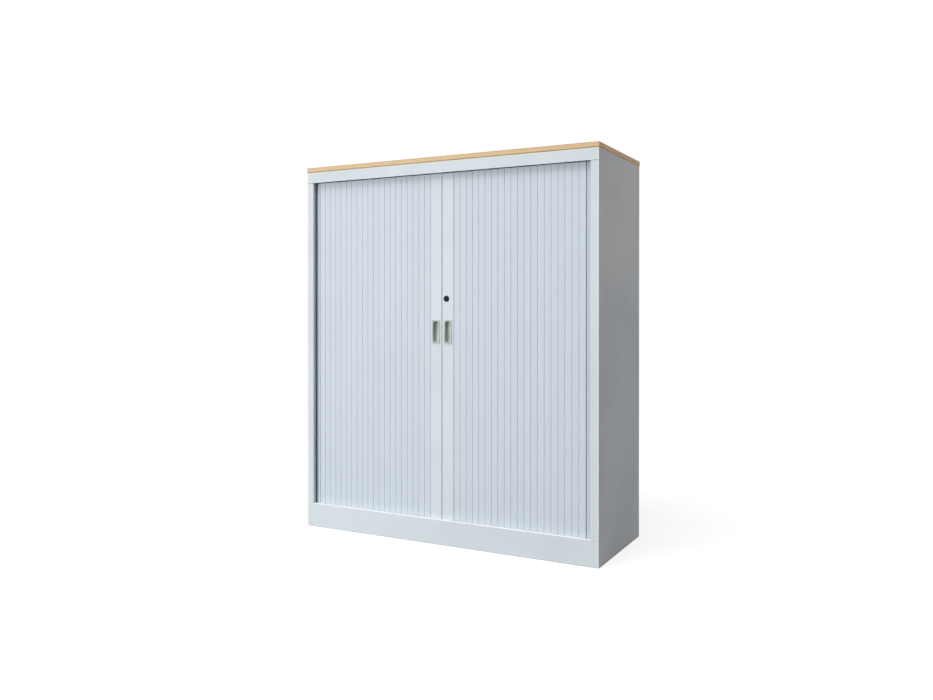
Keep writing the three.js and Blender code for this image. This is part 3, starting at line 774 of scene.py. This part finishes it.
def side_panel():
    low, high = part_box("right_side_panel")
    plinth_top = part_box("plinth_front")[1].z
    header_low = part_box("header_rail")[0].z
    line = [
        (high.x - REAR_FLANGE, high.y), (high.x, high.y), (high.x, low.y), (low.x, low.y),
        (low.x, low.y + FRONT_RETURN),
    ]
    panel = folded_sheet("right_side_sheet", line, 2, (0, high.z), (0, 1, 0), PANEL_RADII)
    # One block takes the face and its fold, the other the return, but neither the side's own wall
    for z in ((-1 * MM, plinth_top + SEAM), (header_low - SEAM, high.z + 1 * MM)):
        start = (low.x - 2 * MM, low.y - 1 * MM, z[0])
        cut_away(panel, block("fold_cutter", start, (high.x + 1 * MM, low.y + 2.3 * MM, z[1])))
        cut_away(panel, block("jamb_cutter", start, (high.x - 1.2 * MM, low.y + 20 * MM, z[1])))
    flange = block(
        "bottom_flange", (high.x - BOTTOM_FLANGE, low.y + 20.3 * MM, 0),
        (high.x - 0.5 * MM, high.y - 2.6 * MM, 1 * MM),
    )
    soften_edges(flange, 0.3 * MM)
    merge(panel, flange)
    return panel


hand_over_pair(side_panel(), "painted_steel", "side_panel")

# %% [markdown]
# ## Header and plinth
# Both are full-width rails. Each is a flat face with a return folded back, and its two ends are
# folded round the cabinet's corners, so that the corner stays one clean line from floor to top.

# %% Header and plinth
END_TAB = 2.2 * MM


def end_tabs(piece, front_y, half):
    """Extrude the face's two ends outward and back round the corner, and round that corner."""
    start_edit(piece)

    def pick_upright(x):
        pick("EDGE", lambda edge: runs_along(edge, 2) and near(middle(edge).x, x)
             and near(middle(edge).y, front_y))

    for side in (-1, 1):
        pick_upright(side * (half - END_TAB))
        extrude((side * END_TAB, 0, 0))
        extrude((0, END_TAB, 0))
        pick_upright(side * half)
        round_edges(END_TAB * 0.98, 5)
    select_all()
    bpy.ops.mesh.remove_doubles(threshold=0.001 * MM)
    end_edit()


def rail(name, node, line, outward, radii):
    low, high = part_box(node)
    span = (low.x + END_TAB, high.x - END_TAB)
    piece = folded_sheet(name, line, 0, span, outward, radii, wall=0)
    end_tabs(piece, low.y, high.x)
    hand_over(thicken(piece, 1 * MM), "painted_steel", node)


header_low, header_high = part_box("header_rail")
rail(
    "header_sheet", "header_rail",
    [(header_low.y, header_high.z), (header_low.y, header_low.z), (header_high.y, header_low.z)],
    (0, -1, 0), (1.5 * MM,),
)

plinth_low, plinth_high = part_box("plinth_front")
rail(
    "plinth_sheet", "plinth_front",
    [
        (plinth_low.y + FRONT_RETURN, plinth_high.z), (plinth_low.y, plinth_high.z),
        (plinth_low.y, plinth_low.z), (plinth_high.y, plinth_low.z),
    ],
    (0, 0, 1), (1.5 * MM, 1.5 * MM),
)

# %% [markdown]
# ## Lead posts
# A lead post is the stiff front end of a door: a rectangular tube with a window for the handle cup,
# a round hole for the lock in the right-hand one, and a slot where the hook comes through. A cube
# loses its two ends, its long edges are rounded, and its wall grows inward.

# %% Lead posts
POST_RADIUS, POST_WALL, WINDOW_INSET, WINDOW_RADIUS = 1.6 * MM, 1.5 * MM, 2.7 * MM, 2.5 * MM


def front_centre(low, high):
    """The middle of a box as it is seen from the front: X and Z."""
    return (low.x + high.x) / 2, (low.z + high.z) / 2


def rounded_cutter(name, centre, size, depth_y, radius):
    """An upright plate with rounded corners that runs through the post's front wall."""
    low = Vector((centre[0] - size[0] / 2, depth_y[0], centre[1] - size[1] / 2))
    high = Vector((centre[0] + size[0] / 2, depth_y[1], centre[1] + size[1] / 2))
    cutter = block(name, low, high)
    start_edit(cutter)
    pick("EDGE", lambda edge: runs_along(edge, 1))
    round_edges(radius, 6)
    end_edit()
    return cutter


def front_wall(low):
    """From just before the front face of a post to just behind its front wall."""
    return low.y - 2 * MM, low.y + 3 * MM


def lead_post():
    low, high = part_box("right_lead_post")
    post = block("right_post_tube", low, high)
    start_edit(post)
    pick("FACE", lambda face: abs(face.normal.z) > 0.9)
    bpy.ops.mesh.delete(type="ONLY_FACE")
    pick("EDGE", lambda edge: runs_along(edge, 2))
    round_edges(POST_RADIUS, 5)
    face_outward()
    end_edit()
    thicken(post, POST_WALL)
    cup_low, cup_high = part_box("right_handle_cup")
    centre = front_centre(cup_low, cup_high)
    size = [side - 2 * WINDOW_INSET for side in (cup_high.x - cup_low.x, cup_high.z - cup_low.z)]
    cut_away(post, rounded_cutter("window_cutter", centre, size, front_wall(low), WINDOW_RADIUS))
    return post


right_post = lead_post()
left_post = mirror_of(right_post, "left_post_tube")
print("posts:", right_post.name, left_post.name)

# %% [markdown]
# ## Holes in the posts
# The lock's hole is drilled with a cylinder. The hook swings out through an upright slot in the wall
# where the two posts meet, so both posts get one at the lock's height.

# %% Lock hole and hook slots
LOCK_HOLE_RADIUS = 9.8 * MM
# The hook's slot on the right: its X and Y places, and half of its height
HOOK_SLOT_X, HOOK_SLOT_Y, HALF_SLOT = (-1 * MM, 4 * MM), (-198.5 * MM, -194.5 * MM), 31 * MM


def drill(post, centre, radius, y):
    deselect()
    place = (centre[0], (y[0] + y[1]) / 2, centre[1])
    bpy.ops.mesh.primitive_cylinder_add(
        vertices=48, radius=radius, depth=y[1] - y[0], location=place, rotation=TOWARDS_FRONT
    )
    bit = bpy.context.object
    apply_place()
    return cut_away(post, bit)


lock_low, lock_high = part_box("lock_housing")
lock_centre = front_centre(lock_low, lock_high)
lock_z = lock_centre[1]
print("lock at", [round(place, 4) for place in lock_centre])
drill(right_post, lock_centre, LOCK_HOLE_RADIUS, front_wall(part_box("right_lead_post")[0]))
for side, post in ((1, right_post), (-1, left_post)):
    slot_x = sorted(side * x for x in HOOK_SLOT_X)
    cut_away(post, block(
        "slot_cutter", (slot_x[0], HOOK_SLOT_Y[0], lock_z - HALF_SLOT),
        (slot_x[1], HOOK_SLOT_Y[1], lock_z + HALF_SLOT),
    ))
hand_over(right_post, "painted_steel", "right_lead_post")
hand_over(left_post, "painted_steel", "left_lead_post")

# %% [markdown]
# ## Handle cups
# A handle cup is pressed from one sheet: a flat frame round a pocket for the fingertips. Two
# rounded outlines with the same number of points, one for the frame's edge and one for the pocket's
# mouth, are bridged into the frame. The pocket is the mouth inset again and again: round the rolled
# edge, down the wall and round the bottom.

# %% Handle cups
CUP_FRAME, CUP_WALL, CUP_RIM = 3.2 * MM, 0.9 * MM, 1.3 * MM
CUP_RADIUS, MOUTH_RADIUS, RIM_RADIUS = 2.5 * MM, 12.2 * MM, 0.4 * MM
# How far each ring of the pocket lies inside the ring before it, and how much deeper, in mm
POCKET_STEPS = [
    (0.5, 0.134), (0.366, 0.366), (0.134, 0.5), (0.25, 10.2), (0.34, 1.25), (0.91, 0.91), (1.25, 0.34)
]


def rounded_plate(name, centre, size, y, radius):
    """A flat upright plate with rounded corners."""
    deselect()
    bpy.ops.mesh.primitive_plane_add(size=1, location=(centre[0], y, centre[1]), rotation=TOWARDS_FRONT)
    plate = bpy.context.object
    plate.name = name
    plate.scale = (size[0], size[1], 1)
    apply_place()
    start_edit(plate)
    select_all()
    bpy.ops.mesh.bevel(offset=radius, segments=8, affect="VERTICES")
    end_edit()
    return plate


def on_outline(edge, centre, size):
    """Does the edge lie on the cup's outer outline?"""
    point = middle(edge)
    off_x = abs(abs(point.x - centre[0]) - size[0] / 2) < 1 * MM
    off_z = abs(abs(point.z - centre[1]) - size[1] / 2) < 1 * MM
    return off_x or off_z


def pocket_bottom(cup):
    """The face with the most corners is the pocket's bottom."""
    return max(bmesh.from_edit_mesh(cup.data).faces, key=lambda face: len(face.verts))


def handle_cup():
    low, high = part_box("right_handle_cup")
    centre = front_centre(low, high)
    size = (high.x - low.x, high.z - low.z)
    mouth_size = [side - 2 * CUP_FRAME for side in size]
    cup = rounded_plate("right_cup_pressing", centre, size, low.y, CUP_RADIUS)
    mouth = rounded_plate("cup_mouth", centre, mouth_size, low.y, MOUTH_RADIUS)
    merge(cup, mouth)
    start_edit(cup)
    select_all()
    bpy.ops.mesh.delete(type="ONLY_FACE")
    select_all()
    bpy.ops.mesh.bridge_edge_loops()
    pick("EDGE", lambda edge: edge.is_boundary and not on_outline(edge, centre, size))
    bpy.ops.mesh.edge_face_add()
    for inward, depth in POCKET_STEPS:
        turned_in = 1 if pocket_bottom(cup).normal.y > 0 else -1
        pick("FACE", lambda face: len(face.verts) > 8)
        bpy.ops.mesh.inset(thickness=inward * MM, depth=turned_in * depth * MM)
    pick("EDGE", lambda edge: edge.is_boundary)
    extrude((0, CUP_RIM, 0))
    pick("EDGE", lambda edge: on_outline(edge, centre, size)
         and all(near(vertex.co.y, low.y) for vertex in edge.verts)
         and any(abs(face.normal.y) < 0.5 for face in edge.link_faces))
    round_edges(RIM_RADIUS, 3)
    face_outward()
    if pocket_bottom(cup).normal.y > 0:
        bpy.ops.mesh.flip_normals()
    end_edit()
    thicken(cup, CUP_WALL)
    depth = max(vertex.co.y for vertex in cup.data.vertices) - low.y
    print("cup depth:", round(depth / MM, 2), "mm")
    return cup


hand_over_pair(handle_cup(), "cup_metal", "handle_cup")

# %% [markdown]
# ## Lock
# The lock is turned on a lathe, and so is its model: a circle is extruded ring by ring, each ring
# scaled to the next radius. The plug inside turns on its own body, and a small block cuts its
# keyhole.

# %% Lock
def turned(name, centre, rings):
    """Rings of (radius, y) about an axis along Y. Radius 0 at either end closes it with a face."""
    closed = [end for end in (0, -1) if rings[end][0] == 0]
    rings = [ring for ring in rings if ring[0] > 0]
    deselect()
    place = (centre[0], rings[0][1], centre[1])
    bpy.ops.mesh.primitive_circle_add(
        vertices=64, radius=rings[0][0], location=place, rotation=TOWARDS_FRONT
    )
    piece = made(name)
    apply_place()
    start_edit(piece)
    select_all()
    for (before, y), (radius, next_y) in zip(rings, rings[1:]):
        extrude((0, next_y - y, 0))
        share = radius / before
        bpy.ops.transform.resize(value=(share, 1, share), center_override=(centre[0], next_y, centre[1]))
    for end in closed:
        pick("EDGE", lambda edge: edge.is_boundary and near(middle(edge).y, rings[end][1]))
        bpy.ops.mesh.edge_face_add()
    select_all()
    bpy.ops.mesh.remove_doubles(threshold=0.001 * MM)
    bpy.ops.mesh.normals_make_consistent(inside=False)
    end_edit()
    return piece


front = lock_low.y
# Radius and distance behind the front, in mm: bore, flat face with a fine groove, rim, barrel
BEZEL_RINGS = [
    (6.3, 12.5), (6.3, 0.5), (6.6, 0.1), (7.0, 0), (8.6, 0), (8.8, 0.25), (9.2, 0.25), (9.4, 0),
    (10.1, 0), (10.6, 0.2), (10.9, 0.6), (11.0, 1.1), (11.0, 2.0), (9.5, 2.0), (9.5, 14.5),
    (6.3, 14.5), (6.3, 12.5),
]
housing = turned(
    "lock_bezel", lock_centre, [(radius * MM, front + behind * MM) for radius, behind in BEZEL_RINGS]
)
hand_over(housing, "lock_black", "lock_housing")

plug_low, plug_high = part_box("lock_plug")
PLUG_RINGS = [(0, 0.5), (3.9, 0.5), (4.2, 0.2), (5.3, 0.1), (5.8, 0.35), (6.0, 0.8)]
plug = turned("lock_cylinder", lock_centre, [
    *((radius * MM, plug_low.y + behind * MM) for radius, behind in PLUG_RINGS),
    (6.0 * MM, front + 14.5 * MM), (3.2 * MM, front + 14.5 * MM), (3.2 * MM, plug_high.y),
    (0, plug_high.y),
])
keyhole = rounded_cutter(
    "keyhole_cutter", lock_centre, (1.6 * MM, 7 * MM),
    (plug_low.y - 1 * MM, plug_low.y + 5 * MM), 0.6 * MM,
)
cut_away(plug, keyhole)
hand_over(plug, "lock_black", "lock_plug")

# %% [markdown]
# ## Curtains
# A curtain is a row of equal slats on hinge lines 25 mm apart, and it follows a path: along the
# front, round the corner and back along the side. The path is worked out here as in the CAD model,
# hinge by hinge, so that one modelled slat can be copied to every place.

# %% Path of the curtain
HINGE_Y, HINGE_X, BACK_Y, CORNER = -0.202, 0.584, 0.209, 0.030
HALF_GAP, SLAT_DEPTH, FIRST_HINGE = 0.00015, 0.007, 0.04865
FRONT_RUN = HINGE_X - CORNER
CORNER_RUN = CORNER * math.pi / 2
SIDE_RUN = BACK_Y - HINGE_Y - 2 * CORNER


def path_point(distance):
    """A point on the right-hand hinge path, at a distance from the cabinet's middle."""
    if distance <= FRONT_RUN:
        return Vector((distance, HINGE_Y, 0))
    distance -= FRONT_RUN
    if distance <= CORNER_RUN:
        turn = distance / CORNER
        y = HINGE_Y + CORNER - CORNER * math.cos(turn)
        return Vector((FRONT_RUN + CORNER * math.sin(turn), y, 0))
    return Vector((HINGE_X, HINGE_Y + CORNER + distance - CORNER_RUN, 0))


def next_hinge(distance, chord):
    """The place further along whose straight distance is the chord, found by halving."""
    start, low, high = path_point(distance), distance, distance + 2 * chord
    for _ in range(60):
        half = (low + high) / 2
        if (path_point(half) - start).length < chord:
            low = half
        else:
            high = half
    return (low + high) / 2


print("front run", FRONT_RUN, "corner", round(CORNER_RUN, 5), "side", SIDE_RUN)

# %% [markdown]
# ## One slat
# A slat is an extruded hollow strip. A cube gets its ends hollowed and its long edges rounded, and
# its narrow sides take the painted shade of the grooves. One slat is enough, because all are alike.

# %% One slat
SLAT_WALL, HOLLOW_DEPTH, FACE_RADIUS, BACK_RADIUS = 1.2 * MM, 20 * MM, 1.1 * MM, 0.5 * MM


def make_slat(bottom, top):
    """A hollow slat that starts at its hinge and lies along +X, with its face towards -Y."""
    slat = block("slat", (HALF_GAP, -SLAT_DEPTH, bottom), (PITCH - HALF_GAP, 0, top))
    start_edit(slat)
    for side in (-1, 1):
        pick("FACE", lambda face: face.normal.z * side > 0.9)
        bpy.ops.mesh.inset(thickness=SLAT_WALL)
        extrude((0, 0, -side * HOLLOW_DEPTH))
    pick("EDGE", lambda edge: runs_along(edge, 2) and near(middle(edge).y, -SLAT_DEPTH))
    round_edges(FACE_RADIUS, 4)
    pick("EDGE", lambda edge: runs_along(edge, 2) and near(middle(edge).y, 0)
         and (near(middle(edge).x, HALF_GAP) or near(middle(edge).x, PITCH - HALF_GAP)))
    round_edges(BACK_RADIUS, 2)
    end_edit()
    # The narrow sides get the painted shade of the grooves
    two_tone(slat, slat_plastic, painted_groove_shade, lambda face: abs(face.normal.x) > 0.9)
    return slat


slat_low, slat_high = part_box("right_slat_mat")
slat = make_slat(slat_low.z, slat_high.z)
print("slat:", len(slat.data.polygons), "faces")

# %% [markdown]
# ## Runs of slats
# The slats are strung along the path on each side. Where several of them move as one, an array
# repeats the slat, and a thin web behind holds them together.

# %% Every run of slats, on both sides
SLAT_RUNS = {
    "slat_1": 1, "slat_2": 1, "slat_mat": 14, "slat_3": 1, "slat_4": 1,
    "slat_pair": 2, "slat_5": 1, "slat_6": 1, "slat_7": 1,
}
# Width of a painted shade line on the first slat, beside the post
SHADE_BESIDE_POST = 1.2 * MM


def run_of_slats(name, count):
    """Slats in a row, made by an array, with the thin web that holds them behind."""
    run = copy_of(slat, name)
    if count > 1:
        modify(run, "ARRAY", count=count, use_relative_offset=False,
               use_constant_offset=True, constant_offset_displace=(PITCH, 0, 0))
        web = block(
            "web", (HALF_GAP + 2 * MM, -0.8 * MM, slat_low.z + 1 * MM),
            (count * PITCH - HALF_GAP - 2 * MM, -0.02 * MM, slat_high.z - 1 * MM),
        )
        # The web behind takes the painted groove shade, seen through the gaps
        web.data.materials.append(painted_groove_shade)
        merge(run, web)
    return run


distance = FIRST_HINGE
for node, count in SLAT_RUNS.items():
    hinge = path_point(distance)
    distance = next_hinge(distance, count * PITCH)
    along = path_point(distance) - hinge
    run = run_of_slats(f"right_curtain_{node}", count)
    # The first slat's strip beside the post gets the painted groove shade
    if node == "slat_1":
        for face in run.data.polygons:
            if face.center.x < HALF_GAP + SHADE_BESIDE_POST:
                face.material_index = 1
    activate(run)
    run.location = hinge
    run.rotation_euler.z = math.atan2(along.y, along.x)
    apply_place()
    hand_over_pair(run, "slat_plastic", node)
bpy.data.objects.remove(slat)

# %% [markdown]
# ## Shelves
# The three shelves are the same sheet at three heights: a flat top with deep folds in front and
# behind. One is folded, and the other two are copies moved up.

# %% Shelves
shelf_low, shelf_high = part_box("shelf_1")
shelf_line = [
    (shelf_low.y + 10 * MM, shelf_low.z), (shelf_low.y, shelf_low.z), (shelf_low.y, shelf_high.z),
    (shelf_high.y, shelf_high.z), (shelf_high.y, shelf_low.z), (shelf_high.y - 10 * MM, shelf_low.z),
]
shelf_span = (shelf_low.x, shelf_high.x)
shelf = folded_sheet("shelf_sheet_1", shelf_line, 0, shelf_span, (0, 0, -1), (1.6 * MM,) * 4)
shelves = [shelf]
for number in (2, 3):
    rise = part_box(f"shelf_{number}")[1].z - shelf_high.z
    shelves.append(copy_of(shelf, f"shelf_sheet_{number}", (0, 0, rise)))
for number, piece in enumerate(shelves, 1):
    hand_over(piece, "painted_steel", f"shelf_{number}")

# %% [markdown]
# ## The parts that keep their CAD shape
# Tracks, caps, hangers, decks and the inner panels already have their true shape. A copy of each is
# merged, its flat faces are joined again, and its edges get a small radius, because a real edge is
# never quite sharp.

# %% Softened copies of CAD nodes
def softened(node, width):
    source = frame["nodes"][node]
    activate(source)
    bpy.ops.object.duplicate()
    piece = made(f"{node}_soft")
    bpy.ops.object.parent_clear(type="CLEAR_KEEP_TRANSFORM")
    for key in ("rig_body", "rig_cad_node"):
        if key in piece:
            del piece[key]
    piece.data.materials.clear()
    start_edit(piece)
    select_all()
    bpy.ops.mesh.remove_doubles(threshold=0.002 * MM)
    bpy.ops.mesh.dissolve_limited(angle_limit=math.radians(1))
    end_edit()
    soften_edges(piece, width, angle=40)
    return piece


ENDS = [f"{side}_{level}" for level in ("lower", "upper") for side in ("left", "right")]
HANGERS = [f"{side}_hanger_{number}" for side in ("left", "right") for number in (1, 2, 3)]
# The radius of the edges in mm and the nodes, by slot
SOFT_PARTS = {
    "track_plastic": (0.35, [f"{end}_track" for end in ENDS]),
    "cap_plastic": (0.3, [f"{end}_cap" for end in ENDS]),
    "zinc_steel": (0.25, ["lock_nut", "lock_hook", "hook_screw", "strike_plate"] + HANGERS),
    "painted_steel": (
        0.3, ["roof_panel", "upper_deck", "lower_deck", "back_panel", "floor_panel", "inner_back_panel"],
    ),
}
for slot, (width, nodes) in SOFT_PARTS.items():
    for node in nodes:
        hand_over(softened(node, width * MM), slot, node)

# %% [markdown]
# ## The rest of the CAD model
# A node that no piece stands for keeps its mesh and only gets its paint. Here those are the two
# slotted liners beside the shelves.

# %% CAD nodes that stay
stood_for = set()
for piece in bpy.context.scene.objects:
    stood_for.update(piece.get("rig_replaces", []))
for name, node in frame["nodes"].items():
    if name not in stood_for:
        if not node.material_slots:
            node.data.materials.append(painted_steel)
        for slot in node.material_slots:
            slot.material = painted_steel
        print("kept:", name)

# %% [markdown]
# ## Floor and surround
# The studio is plain: a pale floor and a dim warm surround that fills the shadows. The surround and
# the far floor look white to the camera and to reflections, through the Light Path node, but they
# put little light on the cabinet.

# %% Floor
def seen_directly(tree):
    """1 for what the camera sees, also in a reflection or through glass, and 0 for light."""
    rays = add(tree, "ShaderNodeLightPath").outputs
    eye = maths("MAXIMUM", rays["Is Camera Ray"], rays["Is Glossy Ray"])
    return maths("MAXIMUM", eye, rays["Is Transmission Ray"])


def surface(tree, kind, socket, value):
    node = add(tree, kind)
    node.inputs[socket].default_value = value
    return node.outputs[0]


def combined(tree, kind, *sources):
    node = add(tree, kind)
    for source, socket in zip(sources, node.inputs):
        join(source, socket)
    return node.outputs[0]


# Between these distances from the middle, in metres, the floor fades to white
FADE_START, FADE_END = 1.6, 3.2
deselect()
bpy.ops.mesh.primitive_grid_add(x_subdivisions=8, y_subdivisions=8, size=60)
floor = bpy.context.object
floor.name = "studio_floor"
floor_material = bpy.data.materials.new("studio_floor")
floor_material.use_nodes = True
tree = floor_material.node_tree
tree.nodes.clear()
output = add(tree, "ShaderNodeOutputMaterial")
seen = seen_directly(tree)
dim = surface(tree, "ShaderNodeBsdfDiffuse", "Color", (0.20, 0.21, 0.24, 1))
pale = surface(tree, "ShaderNodeBsdfDiffuse", "Color", (0.3, 0.3, 0.3, 1))
glow = surface(tree, "ShaderNodeEmission", "Strength", 0.78)
shown = combined(tree, "ShaderNodeAddShader", pale, glow)
white = surface(tree, "ShaderNodeEmission", "Strength", 1.0)
place = add(tree, "ShaderNodeTexCoord").outputs["Object"]
reach = add(tree, "ShaderNodeVectorMath", operation="LENGTH")
join(place, reach.inputs[0])
far = ramp(reach.outputs["Value"], FADE_START, FADE_END)
fade = combined(tree, "ShaderNodeMixShader", far, shown, white)
join(combined(tree, "ShaderNodeMixShader", seen, dim, fade), output.inputs["Surface"])
floor.data.materials.append(floor_material)
print("floor:", floor.name)

# %% Surround
world = bpy.data.worlds.new("studio")
bpy.context.scene.world = world
world.use_nodes = True
tree = world.node_tree
tree.nodes.clear()
output = add(tree, "ShaderNodeOutputWorld")
background = add(tree, "ShaderNodeBackground")
seen = seen_directly(tree)
WARM, WHITE, SURROUND_LIGHT = (1.0, 0.91, 0.855, 1), (1.0, 1.0, 1.0, 1), 0.325
join(mix_colours(seen, WARM, WHITE), background.inputs["Color"])
strength = maths("MULTIPLY_ADD", seen, 1 - SURROUND_LIGHT, SURROUND_LIGHT)
join(strength, background.inputs["Strength"])
join(background.outputs[0], output.inputs["Surface"])
print("surround: white to the camera,", SURROUND_LIGHT, "as light")

# %% [markdown]
# ## Lamps
# Four square lamps light the cabinet. The key lamp stands low in front on the left, and a very large
# one hangs high up in front. A small one behind on the right lifts that side, and one straight
# behind lights the back.

# %% Lamps
def lamp(name, place, target, size, watts, hue=(1, 1, 1)):
    deselect()
    bpy.ops.object.light_add(type="AREA", location=place)
    light = bpy.context.object
    light.name = name
    light.data.shape = "SQUARE"
    light.data.size = size
    light.data.energy = watts
    light.data.color = hue
    light.rotation_euler = (Vector(target) - Vector(place)).to_track_quat("-Z", "Y").to_euler()
    return light


key = lamp("key_lamp", (-4.9, -8.2, 0.7), (0, 0, 0.5), 3.8, 660, (0.98, 0.995, 1.0))
top = lamp("top_lamp", (-3.6, -10.0, 21.4), (0, -0.2, 0.7), 12.0, 3800, (0.98, 0.995, 1.0))
rear = lamp("rear_lamp", (2.2, 1.9, 1.4), (0.6, 0.1, 0.8), 1.0, 4.0, (1.0, 0.93, 0.88))
back = lamp("back_lamp", (0.0, 7.5, 0.9), (0, 0.2, 0.7), 1.2, 200)
print("lamps:", [(light.name, light.data.energy) for light in (key, top, rear, back)])

# %% [markdown]
# ## Camera
# The camera's place and lens come from a fit to the six corners of the cabinet that the photograph
# shows. The focal length and the point that the lens looks at are in pixels of the picture.

# %% Camera
PICTURE_WIDTH, PICTURE_HEIGHT, FOCAL_PIXELS = 933, 700, 856.55
LOOKED_AT_X, LOOKED_AT_Y, SENSOR = 472.51, 309.93, 36
bpy.ops.object.camera_add(
    location=(1.5366, -2.8931, 0.8579),
    rotation=(math.radians(89.770), math.radians(-0.013), math.radians(27.760)),
)
camera = bpy.context.object
camera.name = "photo_camera"
camera.data.sensor_width = SENSOR
camera.data.lens = SENSOR * FOCAL_PIXELS / PICTURE_WIDTH
camera.data.shift_x = (PICTURE_WIDTH / 2 - LOOKED_AT_X) / PICTURE_WIDTH
camera.data.shift_y = -(PICTURE_HEIGHT / 2 - LOOKED_AT_Y) / PICTURE_WIDTH
camera.data.clip_start = 0.05
camera.data.clip_end = 200
bpy.context.scene.camera = camera
bpy.context.scene.view_settings.view_transform = "Standard"
print("camera:", round(camera.data.lens, 3), "mm")
